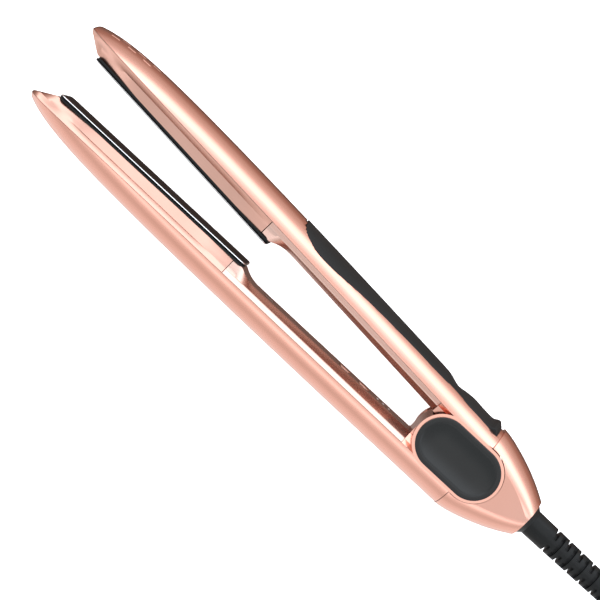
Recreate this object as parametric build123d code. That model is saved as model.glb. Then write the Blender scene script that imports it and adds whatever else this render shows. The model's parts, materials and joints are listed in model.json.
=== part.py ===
from build123d import *
import math
import os

# Flat iron (hair straightener), millimetres.  It is modelled about its hinge axis:
# +X runs from the tips to the tail, +Y from the lower arm to the upper arm, +Z along
# the hinge pin.  The iron lies on its side, so the finished pieces are shifted until
# the lower hinge cover rests on z = 0, with the origin under the middle of its box.

CLEAR = 2.0                 # cutting tools reach this far past what they cut

# ---- arms
ARM_LENGTH = 248.3          # hinge axis to tip
ARM_WIDTH = 30.0
SHELL_WALL = 2.4
BACK_DEPTH = 21.9           # hinge axis to the back of an arm, at the hinge
CREASE_AT_TIP = 9.5         # depth of the line where shell and inner pieces part
CREASE_AT_REAR = 11.4
BAND_AT_TIP = 7.2           # depth of the upper line of the chamfered band
BAND_AT_REAR = 9.6
BAND_INSET = 1.4            # the band leans in by this much
SIDE_INSET = 2.1            # the side above the band ends this far inside the crease
OPEN_ANGLE = 4.55           # rest pose, from parallel arms, degrees
MIRROR_Y = -0.55            # the arms are mirrored about this plane when parallel
REAR_X = -2.0               # end of the lower arm, where the tail cap starts
NOSE_NARROWS, NOSE_NARROWS_OVER = 7.4, 4.3
FAST_FALL, FAST_FALL_OVER = 4.6, 13.0
SLOW_FALL, SLOW_FALL_OVER = 5.6, 62.0

# ---- heated plates
PLATE_LENGTH = 106.7
PLATE_WIDTH = 25.0
PLATE_THICK = 1.2
PLATE_CORNER = 3.0
PLATE_EDGE = 0.5
PLATE_FROM_TIP = 11.3
PLATE_FACE = 1.25           # depth of the plate's face below the hinge axis
GASKET_HEIGHT = 0.85
GASKET_INSET = 0.4
GASKET_RIM = 1.6
HEATER_LENGTH, HEATER_WIDTH, HEATER_THICK = 70.0, 14.0, 2.5
INSULATOR_THICK = 0.6
INSULATOR_MARGIN = 1.5
CUSHION_LENGTH, CUSHION_WIDTH = 10.0, 12.0
CUSHION_SPACING = 50.0
CARRIER_FLOOR = 8.4         # depth of the pocket's floor
POCKET_WIDTH = 21.0
POCKET_MARGIN = 2.6         # plate edge to pocket end

# ---- carrier, liner and nose
NOSE_LENGTH = 10.3          # slanting facet in front of the plate
NOSE_TOP = 8.3              # depth of the facet's lower edge
NOSE_CHIN = 12.6            # depth where the rounded tip ends
NOSE_ROUND = 1.0            # how far the tip bulges
LINER_FACE = 6.1            # depth of the inner face of the handles
LINER_WALL = 1.8
HEEL_RUN = 10.7             # length of the dip behind the plate
HEEL_HOLD = 5.2             # the liner stays full height this far, under the plate's rear end
HEEL_BEND = 0.42, 0.78      # the dip has fallen by the second share at the first
HANDLE_SLOPE = 4.0          # the handle's inner edges slope in by this much
BOSS_SHORT = 1.2            # a screw boss ends this far inside the back
VENT_LENGTH, VENT_WIDTH = 4.2, 0.75
VENT_PITCH = 8.4
VENT_ROWS = ((2.6, 14.4), (6.4, 10.0))  # offset from the middle, first slot from the tip
VENTS_PER_ROW = 3

# ---- hinge
HINGE_SEAM_X = -31.0        # liner and hinge block meet here
COVER_RADIUS = 11.6         # oval cover: two half circles ...
COVER_SPAN = 18.0           # ... with their centres this far apart
COVER_THICK = 1.3
COVER_RIM = 2.0
COVER_DISH = 0.7
COVER_DISH_SLOPE = 0.66     # the dish's wall slopes over this much of its depth
COVER_EDGE = 0.4
SURROUND_RADIUS = 12.9
SURROUND_THICK = 0.5
NOTCH_RADIUS = 13.3         # round clearance about the cheek discs
ARM_CLEARANCE = 0.2         # arm side to surround
CHEEK_INNER = 12.2          # inner face of the cheeks
CHEEK_SIDE_GAP = 0.6        # between a cheek and the moving arm's shell
CHEEK_TOP = 4.0             # the cheeks' front stays below the moving arm
PIN_RADIUS = 2.5
PIN_CLEARANCE = 0.05        # in the ears of the moving arm
BARREL_RADIUS = 8.5
BARREL_HALF = 9.0
EAR_INNER, EAR_OUTER = 9.6, 11.4
WASHER_RADIUS = 7.0
WASHER_GAP = 0.05
WEB_THICK = 2.0
WEB_TOP = 6.0
WEB_FOOT = 1.0              # the web starts this deep in the floor
WEB_FROM_SEAM = 0.2
WEB_SIDE_GAP = 0.4          # between the web and the ears
WEB_BEND = 0.35, 0.6        # how the top of the web's front curves back
RIB_HALF, RIB_FOOT, RIB_GAP = 3.0, 4.0, 0.5   # ribs that carry the barrel
FLOOR_LENGTH, FLOOR_THICK = 6.0, 1.6          # plate under the barrel
EAR_ARM_X = 5.0             # an ear's arm starts this far behind the seam
EAR_ARM_REACH = 5.5, 6.5    # where it meets the ear, behind and in front of the pin
BRIDGE_X, BRIDGE_LENGTH, BRIDGE_THICK, BRIDGE_INSET = 4.0, 3.0, 2.0, 3.0
SPRING_THICK = 0.6
SPRING_WIDTH = 7.0
SPRING_GAP = 0.3
SPRING_LEG = 22.0
SPRING_SLOT_X = -19.2       # the lower leg rests on the end of this slot
SPRING_LOWER_END = -5.0     # height of the lower leg's end
SPRING_UPPER_END = 11.4

# ---- grip pad on the upper arm
PAD_THICK = 1.2
PAD_REAR = 4.0              # the pad ends this far in front of the hinge axis
SCOOP_X, SCOOP_RADIUS, SCOOP_DEPTH = -30.0, 22.0, 1.5   # hollow for the thumb
LIP_X, LIP_RADIUS, LIP_HEIGHT, LIP_HALF = -6.9, 1.9, 1.6, 5.0   # raised rear end
PAD_FRONT = 9.5, -1.0       # edge: behind the seam, inside the back's depth
PAD_SWOOSH = (13.4, 3.5), (23.5, 6.7), (52.0, 4.6)
PAD_TAIL = (-40.4, 3.5), (-4.0, 3.6)          # edge: from the hinge axis

# ---- tail cap, swivel and strain relief
CAP_LENGTH = 31.5
CAP_WALL = 2.0
CAP_END_RADIUS = 9.6
UPPER_GAP_X = -0.9          # front edge of the cap behind the moving arm
END_BLOCK_X = 22.6          # the cap is solid from here, round the swivel
RETAINER_RADIUS, RETAINER_HOLE, RETAINER_THICK = 9.0, 4.0, 1.8
FLANGE_RADIUS, FLANGE_THICK = 8.1, 3.7
FLANGE_CLEARANCE = 0.2
STEM_RADIUS = 6.3
STEM_CLEARANCE = 0.1
COLLAR_RADIUS, COLLAR_LENGTH = 8.1, 2.4
BOOT_RADIUS, BOOT_END_RADIUS, BOOT_LENGTH = 6.05, 5.2, 57.2
BOOT_PLAIN = 11.0           # sleeve before the first slot
BOOT_SLOT, BOOT_PITCH = 1.7, 6.88
BOOT_SLOTS = 6
BOOT_CORE = 4.0
BOOT_SLOT_FLOOR = 1.7       # a slot stops this far from the axis plane

# ---- controls in the lower handle
BUTTON_RADIUS = 3.4
BUTTON_CLEARANCE = 0.3
BUTTON_PROUD = 0.5
BUTTON_TRAVEL = 0.4
BUTTON_STEM = 1.2           # below the liner's wall
SWITCH_SIZE = 6.0
SWITCH_GAP = 0.1            # between the pressed button and its switch
POWER_X, HEAT_X = -58.0, -69.0
LENS_X, LENS_PITCH = -43.4, 3.3
LENS_RADIUS = 0.6
LENS_PROUD = 0.35
BOARD_LENGTH, BOARD_WIDTH, BOARD_THICK = 56.0, 20.0, 1.6
BOARD_END_X = -40.0
BOARD_DEPTH = 12.0

# ---- fasteners and fuse
SCREW_RADIUS, SCREW_HEAD, SCREW_LENGTH = 1.1, 2.2, 11.0
BOSS_RADIUS = 3.0
SCREW_FROM_SEAM = 22.0      # first screw behind the carrier seam
SCREW_FROM_HINGE = 5.0      # second screw in front of the hinge seam
FUSE_RADIUS, FUSE_LENGTH = 1.6, 9.0
FUSE_FROM_SEAM = 6.0
FUSE_GAP = 0.1

# ---- cord
CORD_RADIUS = 3.0
TIE_THICK, TIE_WIDTH = 1.2, 12.0
HANK_RUN = 92.0             # between the centres of the end loops
HANK_LOOP = 27.2            # outer radius of the end loops
HANK_WAIST = 14.0           # half width where the tie gathers the runs
HANK_WAIST_RUN = 20.0
HANK_HEIGHT = 26.8
HANK_START_X = 156.0        # near end of the hank
HANK_Y = 4.0                # its centre line
PLUG_LENGTH, PLUG_WIDTH, PLUG_HEIGHT = 36.0, 35.3, 13.7
PLUG_NECK = 26.0            # width at the grip
PLUG_GRIP, PLUG_SHOULDER = 0.45, 0.7          # shares of the length
PLUG_CHAMFER = 1.5
PLUG_RELIEF_LENGTH, PLUG_RELIEF_RADIUS, PLUG_RELIEF_TAPER = 16.0, 4.6, 1.0
PLUG_GAP, PLUG_Y = 44.0, 4.0  # hank to the plug's strain relief
PRONG_RADIUS, PRONG_LENGTH, PRONG_PITCH = 2.0, 19.0, 18.6

# ---- places worked out from the sizes above
tip_x = -ARM_LENGTH
plate_front = tip_x + PLATE_FROM_TIP
carrier_length = PLATE_FROM_TIP + PLATE_LENGTH - HEEL_HOLD
seam_x = tip_x + carrier_length
plate_middle = plate_front + PLATE_LENGTH / 2
plate_back_depth = PLATE_FACE + PLATE_THICK
carrier_top = plate_back_depth + GASKET_HEIGHT
heater_depth = plate_back_depth + HEATER_THICK
insulator_depth = heater_depth + INSULATOR_THICK
half_width = ARM_WIDTH / 2
surround_face = half_width + ARM_CLEARANCE + SURROUND_THICK
cover_face = surround_face + COVER_THICK
collar_x = CAP_LENGTH + FLANGE_CLEARANCE
boot_x = collar_x + COLLAR_LENGTH
boot_end_x = boot_x + BOOT_LENGTH
floor_z = -cover_face
cord_z = floor_z + CORD_RADIUS
hank_end_x = HANK_START_X + 2 * HANK_LOOP + HANK_RUN
plug_x = hank_end_x + PLUG_GAP
plug_z = floor_z + PLUG_HEIGHT / 2


def line_depth(at_tip, at_rear, x):
    """Depth at x of a straight line between the tip and the arm's rear end."""
    share = (x - tip_x) / (REAR_X - tip_x)
    return at_tip + share * (at_rear - at_tip)


def crease(x):
    return line_depth(CREASE_AT_TIP, CREASE_AT_REAR, x)


def band(x):
    return line_depth(BAND_AT_TIP, BAND_AT_REAR, x)


def half_at(x):
    """Half width of the arm: the nose narrows in plan."""
    return half_width - NOSE_NARROWS * math.exp((tip_x - x) / NOSE_NARROWS_OVER)


def back_at(x):
    """Depth of the back: it falls away to the tip, slowly and then steeply."""
    fast = FAST_FALL * math.exp((tip_x - x) / FAST_FALL_OVER)
    slow = SLOW_FALL * math.exp((tip_x - x) / SLOW_FALL_OVER)
    return BACK_DEPTH - fast - slow


FROM_TIP = (0, 1.5, 3.5, 6, 9.5, 14, 21, 31, 45, 64, 86)
ARM_STATIONS = [tip_x + s for s in FROM_TIP if s < carrier_length]
ARM_STATIONS += [seam_x, (2 * seam_x + HINGE_SEAM_X) / 3, (seam_x + 2 * HINGE_SEAM_X) / 3, REAR_X]


def back_section(x, half, top, back):
    """A D: a flat top at depth top and a round back reaching depth back."""
    left, low, right = (x, -top, -half), (x, -back, 0), (x, -top, half)
    return Wire([ThreePointArc(left, low, right), Line(right, left)])


def open_section(x, half, top, back, rise):
    """The D of a hollow, carried up past its top so that it opens the shell."""
    left, low, right = (x, -top, -half), (x, -back, 0), (x, -top, half)
    up_left, up_right = (x, -top + rise, -half), (x, -top + rise, half)
    arc = ThreePointArc(left, low, right)
    return Wire([arc, Line(right, up_right), Line(up_right, up_left), Line(up_left, left)])


def rim_section(x, half, top):
    """Crease, leaning band and side of the pieces that close an arm."""
    ends = ((-crease(x), half), (-band(x), half - BAND_INSET), (-top, half - SIDE_INSET))
    right = [(x, y, z) for y, z in ends]
    left = [(x, y, -z) for y, z in reversed(ends)]
    return Wire(Polyline(*right, *left, close=True).edges())


def side_profile(*edges):
    """A solid across the whole width from a closed outline in X and Y."""
    return extrude(Face(Wire(list(edges))), cover_face + CLEAR, dir=(0, 0, 1), both=True)


def block(x0, x1, y0, y1, z0, z1):
    size = (x1 - x0, y1 - y0, z1 - z0)
    return Pos((x0 + x1) / 2, (y0 + y1) / 2, (z0 + z1) / 2) * Box(*size)


def rod(radius, start, length, along=(0, 0, 1)):
    """A cylinder from the point start."""
    return extrude(Plane(start, z_dir=along) * Circle(radius), length)


def both_sides(solid):
    return [solid, mirror(solid, about=Plane.XY)]


def as_upper(solid):
    """Mirrors a piece of the lower arm and swings it to the open rest pose."""
    return Rot(0, 0, -OPEN_ANGLE) * mirror(solid, about=Plane((0, MIRROR_Y, 0), z_dir=(0, 1, 0)))


def stadium(radius, z0, z1):
    """The oval of the hinge: round ends about the pin and COVER_SPAN in front of it."""
    outline = Rectangle(COVER_SPAN, 2 * radius) + Pos(-COVER_SPAN / 2, 0) * Circle(radius)
    outline += Pos(COVER_SPAN / 2, 0) * Circle(radius)
    return extrude(Pos(-COVER_SPAN / 2, 0, z0) * outline, z1 - z0)


def nose_profile():
    """Side view of everything the nose may fill: slanting facet, rounded tip, chin."""
    top = (tip_x + NOSE_ROUND, -NOSE_TOP)
    chin = (tip_x + NOSE_ROUND, -NOSE_CHIN)
    heel = (tip_x + NOSE_LENGTH, -carrier_top)
    far = 2 * BACK_DEPTH
    return side_profile(
        Line(heel, top),
        ThreePointArc(top, (tip_x, -(NOSE_TOP + NOSE_CHIN) / 2), chin),
        Line(chin, (tip_x + NOSE_ROUND, -far)),
        Line((tip_x + NOSE_ROUND, -far), (far, -far)),
        Line((far, -far), (far, -carrier_top)),
        Line((far, -carrier_top), heel),
    )


def arm_envelope():
    return Solid.make_loft([back_section(x, half_at(x), crease(x), back_at(x)) for x in ARM_STATIONS], True)


def arm_inside(wall):
    """The space inside a wall of the arm's back, open at the top."""
    return inner_loft(wall, NOSE_LENGTH)


def inner_loft(wall, from_tip):
    stations = [x for x in ARM_STATIONS if x > tip_x + from_tip]
    return Solid.make_loft(
        [open_section(x, half_at(x) - wall, crease(x), back_at(x) - wall, CLEAR) for x in stations], True)


def vent_slots():
    slots = []
    for offset, first in VENT_ROWS:
        for n in range(VENTS_PER_ROW):
            x = tip_x + first + n * VENT_PITCH
            for z in (offset, -offset):
                slots.append(
                    block(x - VENT_LENGTH / 2, x + VENT_LENGTH / 2, -BACK_DEPTH - CLEAR, -crease(x) - CLEAR,
                          z - VENT_WIDTH / 2, z + VENT_WIDTH / 2)
                )
    return slots


screw_places = (seam_x + SCREW_FROM_SEAM, HINGE_SEAM_X - SCREW_FROM_HINGE)
boss_top = -(LINER_FACE + LINER_WALL)


def arm_shell():
    """Back of an arm with its vents and screw bosses."""
    shell = arm_envelope() - arm_inside(SHELL_WALL)
    shell = shell & nose_profile()
    for x in screw_places:
        boss_length = BACK_DEPTH - BOSS_SHORT + boss_top
        shell += rod(BOSS_RADIUS, (x, boss_top, 0), boss_length, (0, -1, 0))
        shell -= rod(SCREW_RADIUS, (x, boss_top, 0), SCREW_LENGTH, (0, -1, 0))
    return shell - vent_slots()


def plate_carrier():
    """Nose and tray that hold a heated plate."""
    stations = [x for x in ARM_STATIONS if x <= seam_x]
    body = Solid.make_loft([rim_section(x, half_at(x), carrier_top) for x in stations], True)
    body = body & nose_profile()
    pocket = block(plate_front + POCKET_MARGIN, seam_x - POCKET_MARGIN, -CARRIER_FLOOR, 0,
                   -POCKET_WIDTH / 2, POCKET_WIDTH / 2)
    return body - pocket


def rails(x0, x1, top):
    """Crease, band and sides from x0 to x1, filled in."""
    return Solid.make_loft([rim_section(x, half_at(x), top) for x in (x0, x1)], True)


def sloped_edge(hold, flat):
    """What is taken off one long inner edge of a handle, growing along the dip."""
    wedges = []
    for x, share in ((hold, 0.0), (flat, 1.0), (HINGE_SEAM_X + CLEAR, 1.0)):
        top = -carrier_top + CLEAR
        side = half_width - SIDE_INSET + CLEAR
        foot_depth = -carrier_top - share * (band(x) - carrier_top)
        inner = half_width - SIDE_INSET - (
            share * HANDLE_SLOPE * (band(x) - carrier_top) / (band(x) - LINER_FACE))
        outline = (x, foot_depth, side - CLEAR + share * (SIDE_INSET - BAND_INSET)), (x, foot_depth, side), (
            x, top, side), (x, top, inner - CLEAR / 2 * share)
        wedges.append(Wire(Polyline(*outline, close=True).edges()))
    return Solid.make_loft(wedges, True)


def handle_liner(buttons):
    """Inner face of a handle, with the dip behind the plate."""
    body = rails(seam_x, HINGE_SEAM_X, carrier_top)
    hold, flat = seam_x + HEEL_HOLD, seam_x + HEEL_HOLD + HEEL_RUN
    dip = ThreePointArc(
        (hold, -carrier_top),
        (hold + HEEL_BEND[0] * HEEL_RUN, -carrier_top - HEEL_BEND[1] * (LINER_FACE - carrier_top)),
        (flat, -LINER_FACE),
    )
    body -= side_profile(
        dip,
        Line((flat, -LINER_FACE), (0, -LINER_FACE)),
        Line((0, -LINER_FACE), (0, 0)),
        Line((0, 0), (hold, 0)),
        Line((hold, 0), (hold, -carrier_top)),
    )
    body -= both_sides(sloped_edge(hold, flat))
    inner = half_width - SIDE_INSET - HANDLE_SLOPE
    body -= block(seam_x + LINER_WALL, HINGE_SEAM_X - LINER_WALL, -BACK_DEPTH, boss_top, -inner, inner)
    for x in screw_places:
        body -= screw(x)
    if buttons:
        for x in (POWER_X, HEAT_X):
            body -= rod(BUTTON_RADIUS + BUTTON_CLEARANCE, (x, 0, 0), BACK_DEPTH, (0, -1, 0))
        for n in range(3):
            body -= lens(n)
    return body


def screw(x):
    """Countersunk screw through the liner into its boss."""
    head = Plane((x, -LINER_FACE, 0), z_dir=(0, -1, 0)) * Pos(0, 0, SCREW_HEAD / 4)
    cone = head * Cone(SCREW_HEAD, SCREW_RADIUS, SCREW_HEAD / 2)
    return cone + rod(SCREW_RADIUS, (x, -LINER_FACE, 0), SCREW_LENGTH, (0, -1, 0))


def lens(n):
    """One status light: a light pipe from the board to just above the handle."""
    start = (LENS_X - n * LENS_PITCH, -LINER_FACE + LENS_PROUD, 0)
    return rod(LENS_RADIUS, start, BOARD_DEPTH - LINER_FACE + LENS_PROUD, (0, -1, 0))


def button(x):
    """Push button: a cap in the liner's hole, with a collar inside, over its switch."""
    cap_top = -LINER_FACE + BUTTON_PROUD
    length = BUTTON_PROUD + BUTTON_STEM + LINER_WALL
    cap = rod(BUTTON_RADIUS, (x, cap_top, 0), length, (0, -1, 0))
    return chamfer(cap.edges().group_by(Axis.Y)[-1], BUTTON_PROUD / 2)


def heated_plate():
    plate = extrude(Plane((plate_middle, -plate_back_depth, 0), x_dir=(1, 0, 0), z_dir=(0, 1, 0))
                    * RectangleRounded(PLATE_LENGTH, PLATE_WIDTH, PLATE_CORNER), PLATE_THICK)
    return fillet(plate.edges().group_by(Axis.Y)[-1], PLATE_EDGE)


def plate_gasket():
    """Soft seal in the gap between plate and carrier."""
    plane = Plane((plate_middle, -carrier_top, 0), x_dir=(1, 0, 0), z_dir=(0, 1, 0))
    length, width = PLATE_LENGTH - 2 * GASKET_INSET, PLATE_WIDTH - 2 * GASKET_INSET
    hole = Rectangle(length - 2 * GASKET_RIM, width - 2 * GASKET_RIM)
    ring = RectangleRounded(length, width, PLATE_CORNER - GASKET_INSET) - hole
    return extrude(plane * ring, GASKET_HEIGHT)


def centred_on_plate(length, width, top, bottom, offset=0.0):
    x = plate_middle - PLATE_LENGTH / 2 + (seam_x - plate_front) / 2 + offset
    return block(x - length / 2, x + length / 2, -bottom, -top, -width / 2, width / 2)


# ---- hinge

def cheek_outline(radius):
    """Disc about the pin, with the oval's front half below the moving arm."""
    front = Pos(-COVER_SPAN, 0) * Circle(radius)
    front += Pos(-COVER_SPAN / 2, 0) * Rectangle(COVER_SPAN, 2 * radius)
    low = Pos(-COVER_SPAN / 2, CHEEK_TOP - radius) * Rectangle(2 * (COVER_SPAN + radius), 2 * radius)
    shell_rim = -crease(HINGE_SEAM_X)
    below = Pos(REAR_X - ARM_WIDTH, shell_rim - ARM_WIDTH / 2) * Rectangle(2 * ARM_WIDTH, ARM_WIDTH)
    return Circle(radius) + (front & low) - below


def barrel():
    return rod(BARREL_RADIUS, (0, 0, -BARREL_HALF), 2 * BARREL_HALF)


def web():
    """Front wall of the hinge between the arms, its top curving back."""
    front, foot_y = HINGE_SEAM_X + WEB_FROM_SEAM, -LINER_FACE - WEB_FOOT
    foot, shoulder, top = (front, foot_y), (front, 0), (front + WEB_THICK, WEB_TOP)
    back_top, back_foot = (top[0] + WEB_THICK, WEB_TOP), (top[0] + WEB_THICK, foot_y)
    wall = side_profile(
        Line(foot, shoulder),
        ThreePointArc(shoulder, (front + WEB_BEND[0] * WEB_THICK, WEB_BEND[1] * WEB_TOP), top),
        Line(top, back_top),
        Line(back_top, back_foot),
        Line(back_foot, foot),
    )
    half = EAR_OUTER - WEB_SIDE_GAP
    return wall & block(-ARM_LENGTH, 0, -BACK_DEPTH, BACK_DEPTH, -half, half)


def hinge_block():
    """Fixed half of the hinge: floor on the lower arm, web, barrel and cheeks."""
    body = rails(HINGE_SEAM_X, REAR_X, LINER_FACE)
    inner = half_width - SIDE_INSET - LINER_WALL
    body -= block(HINGE_SEAM_X + LINER_WALL, REAR_X, -BACK_DEPTH, boss_top, -inner, inner)
    ring = BARREL_RADIUS + SPRING_GAP + SPRING_THICK + SPRING_GAP
    body -= rod(ring, (0, 0, -CHEEK_INNER), 2 * CHEEK_INNER)
    half_slot = SPRING_WIDTH / 2 + SPRING_GAP
    body -= block(SPRING_SLOT_X, 0, -BARREL_RADIUS, 0, -half_slot, half_slot)
    body += barrel() + web()
    rib = block(-RIB_HALF, RIB_HALF, boss_top - RIB_FOOT, -BARREL_RADIUS / 2, -BARREL_HALF,
                -SPRING_WIDTH / 2 - RIB_GAP)
    body += both_sides(rib)
    floor_y = boss_top - RIB_FOOT
    body += block(REAR_X - FLOOR_LENGTH, REAR_X, floor_y, floor_y + FLOOR_THICK, -inner, inner)
    for cheek in both_sides(extrude(Pos(0, 0, CHEEK_INNER) * cheek_outline(SURROUND_RADIUS),
                                    surround_face - SURROUND_THICK - CHEEK_INNER)):
        body += cheek
    for plate in both_sides(stadium(SURROUND_RADIUS, surround_face - SURROUND_THICK, surround_face)):
        body += plate
    return body - pin()


def pin():
    half = surround_face - 0.2
    return rod(PIN_RADIUS, (0, 0, -half), 2 * half)


def washers():
    """Plain washers between the ears and the cheeks."""
    z0, z1 = EAR_OUTER + WASHER_GAP, CHEEK_INNER
    ring = rod(WASHER_RADIUS, (0, 0, z0), z1 - z0) - rod(PIN_RADIUS, (0, 0, z0), z1 - z0)
    return Compound(both_sides(ring))


def hinge_cover():
    """Oval cap over the pin's end: flat rim and shallow dish."""
    cover = stadium(COVER_RADIUS, surround_face, cover_face)
    cover = fillet(cover.edges().group_by(Axis.Z)[-1], COVER_EDGE)
    dish = stadium(COVER_RADIUS - COVER_RIM, cover_face - COVER_DISH, cover_face + CLEAR)
    return cover - chamfer(dish.edges().group_by(Axis.Z)[0], COVER_DISH_SLOPE)


def knuckle():
    """Moving half of the hinge, drawn on the lower side: rails and two ears."""
    body = rails(HINGE_SEAM_X, -PAD_REAR, LINER_FACE)
    body -= block(HINGE_SEAM_X, 0, -BACK_DEPTH, 0, -EAR_OUTER, EAR_OUTER)
    for disc in both_sides(rod(NOTCH_RADIUS, (0, 2 * MIRROR_Y, EAR_OUTER), half_width)):
        body -= disc
    depth = crease(REAR_X)
    ear = Pos(0, 2 * MIRROR_Y) * Circle(BARREL_RADIUS)
    arm_x = HINGE_SEAM_X + EAR_ARM_X
    arm = Polygon((arm_x, -LINER_FACE), (arm_x, -depth), (-PAD_REAR, -depth),
                  (EAR_ARM_REACH[0], 2 * MIRROR_Y), (-EAR_ARM_REACH[1], 2 * MIRROR_Y), align=None)
    for side in both_sides(extrude(Pos(0, 0, EAR_INNER) * (ear + arm), EAR_OUTER - EAR_INNER)):
        body += side
    bridge_x, bridge_half = HINGE_SEAM_X + BRIDGE_X, half_width - BRIDGE_INSET
    body += block(bridge_x, bridge_x + BRIDGE_LENGTH, -depth, -depth + BRIDGE_THICK,
                  -bridge_half, bridge_half)
    return body - rod(PIN_RADIUS + PIN_CLEARANCE, (0, 2 * MIRROR_Y, -half_width), 2 * half_width)


def opening_spring():
    """Hairpin of strip steel round the barrel, one leg on each arm."""
    outer = BARREL_RADIUS + SPRING_GAP + SPRING_THICK
    inner = outer - SPRING_THICK
    lower, upper = (-SPRING_LEG, SPRING_LOWER_END), (-SPRING_LEG, SPRING_UPPER_END)
    rim = (0, outer), (outer, 0), (0, -outer)
    bore = (0, -inner), (inner, 0), (0, inner)
    outline = Wire([
        Line((upper[0], upper[1]), rim[0]),
        ThreePointArc(*rim),
        Line(rim[2], (lower[0], lower[1] - SPRING_THICK)),
        Line((lower[0], lower[1] - SPRING_THICK), lower),
        Line(lower, bore[0]),
        ThreePointArc(*bore),
        Line(bore[2], (upper[0], upper[1] - SPRING_THICK)),
        Line((upper[0], upper[1] - SPRING_THICK), upper),
    ])
    return extrude(Face(outline), SPRING_WIDTH / 2, dir=(0, 0, 1), both=True)


# ---- upper arm

def pad_edge():
    """Side view of the grip pad, drawn on the lower side: deep in front, then slim."""
    inwards = -BACK_DEPTH
    points = [(seam_x + x, inwards + rise) for x, rise in (PAD_FRONT, *PAD_SWOOSH)]
    points += [(x, inwards + rise) for x, rise in PAD_TAIL]
    start, end = points[0], points[-1]
    below = -BACK_DEPTH - 2 * CLEAR
    return side_profile(
        Spline(*points),
        Line(end, (end[0], below)),
        Line((end[0], below), (start[0], below)),
        Line((start[0], below), start),
    )


def pad_space():
    """What the pad fills: the outer skin of the arm inside the pad's edge."""
    return pad_edge() - inner_loft(PAD_THICK, carrier_length / 2)


def pad_lip():
    """Raised rear end of the grip pad, against which the thumb stops."""
    return rod(LIP_RADIUS, (LIP_X, -BACK_DEPTH - LIP_HEIGHT + LIP_RADIUS, -LIP_HALF), 2 * LIP_HALF)


def grip_pad():
    scoop = rod(SCOOP_RADIUS, (SCOOP_X, -BACK_DEPTH - SCOOP_RADIUS + SCOOP_DEPTH, -half_width), ARM_WIDTH)
    return (arm_envelope() & pad_space()) - scoop + pad_lip()


def upper_back():
    """Back shell of the upper arm, with the recess for the pad and the hinge notches."""
    shell = arm_shell() - pad_space() - pad_lip()
    shell -= block(-PAD_REAR, 0, -2 * BACK_DEPTH, 0, -ARM_WIDTH, ARM_WIDTH)
    for disc in both_sides(rod(NOTCH_RADIUS, (0, 2 * MIRROR_Y, CHEEK_INNER - CHEEK_SIDE_GAP), half_width)):
        shell -= disc
    return shell


# ---- tail

CAP_STATIONS = (
    # place, half depth, half width, half height of the straight sides
    (REAR_X, BACK_DEPTH, half_width, CREASE_AT_REAR),
    (REAR_X + 6.0, BACK_DEPTH - 0.9, half_width - 0.1, 10.6),
    (REAR_X + 14.7, BACK_DEPTH - 3.5, half_width - 0.7, 8.4),
    (REAR_X + 23.3, BACK_DEPTH - 6.9, half_width - 2.0, 5.2),
    (CAP_LENGTH - 2.4, CAP_END_RADIUS + 1.4, CAP_END_RADIUS + 1.2, 1.2),
    (CAP_LENGTH, CAP_END_RADIUS, CAP_END_RADIUS - 0.2, 0.2),
)


def cap_section(x, depth, half, straight):
    corners = (x, -straight, half), (x, straight, half), (x, straight, -half), (x, -straight, -half)
    return Wire([
        Line(corners[0], corners[1]),
        ThreePointArc(corners[1], (x, depth, 0), corners[2]),
        Line(corners[2], corners[3]),
        ThreePointArc(corners[3], (x, -depth, 0), corners[0]),
    ])


def tail_cap():
    """Cone that closes the tail and carries the cord's swivel."""
    body = Solid.make_loft([cap_section(*s) for s in CAP_STATIONS])
    hollow = Solid.make_loft([
        cap_section(x - (x == REAR_X), depth - CAP_WALL, half - CAP_WALL, straight)
        for x, depth, half, straight in CAP_STATIONS[:4]
    ])
    body -= hollow & block(REAR_X - CLEAR, END_BLOCK_X, -ARM_LENGTH, ARM_LENGTH, -ARM_WIDTH, ARM_WIDTH)
    body -= block(REAR_X - CLEAR, UPPER_GAP_X, 0, 2 * BACK_DEPTH, -ARM_WIDTH, ARM_WIDTH)
    for disc in both_sides(rod(NOTCH_RADIUS, (0, 0, CHEEK_INNER - 1), half_width)):
        body -= disc
    body -= rod(RETAINER_RADIUS, (END_BLOCK_X, 0, 0), RETAINER_THICK, (1, 0, 0))
    chamber = END_BLOCK_X + RETAINER_THICK
    body -= rod(FLANGE_RADIUS + FLANGE_CLEARANCE, (chamber, 0, 0), FLANGE_THICK + 2 * FLANGE_CLEARANCE,
                (1, 0, 0))
    return body - rod(STEM_RADIUS + STEM_CLEARANCE, (chamber, 0, 0), ARM_LENGTH, (1, 0, 0))


def swivel_retainer():
    ring = rod(RETAINER_RADIUS, (END_BLOCK_X, 0, 0), RETAINER_THICK, (1, 0, 0))
    return ring - rod(RETAINER_HOLE, (END_BLOCK_X, 0, 0), RETAINER_THICK, (1, 0, 0))


def swivel_collar():
    """Turning collar: a flange in the cap, a stem and the flared collar outside."""
    flange_x = END_BLOCK_X + RETAINER_THICK + FLANGE_CLEARANCE
    body = rod(FLANGE_RADIUS, (flange_x, 0, 0), FLANGE_THICK, (1, 0, 0))
    body += rod(STEM_RADIUS, (flange_x, 0, 0), collar_x - flange_x, (1, 0, 0))
    flare = Plane((collar_x + COLLAR_LENGTH / 2, 0, 0), z_dir=(1, 0, 0))
    body += flare * Cone(COLLAR_RADIUS, BOOT_RADIUS, COLLAR_LENGTH)
    return body - rod(RETAINER_HOLE, (flange_x, 0, 0), FLANGE_THICK + CLEAR / 2, (1, 0, 0))


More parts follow.
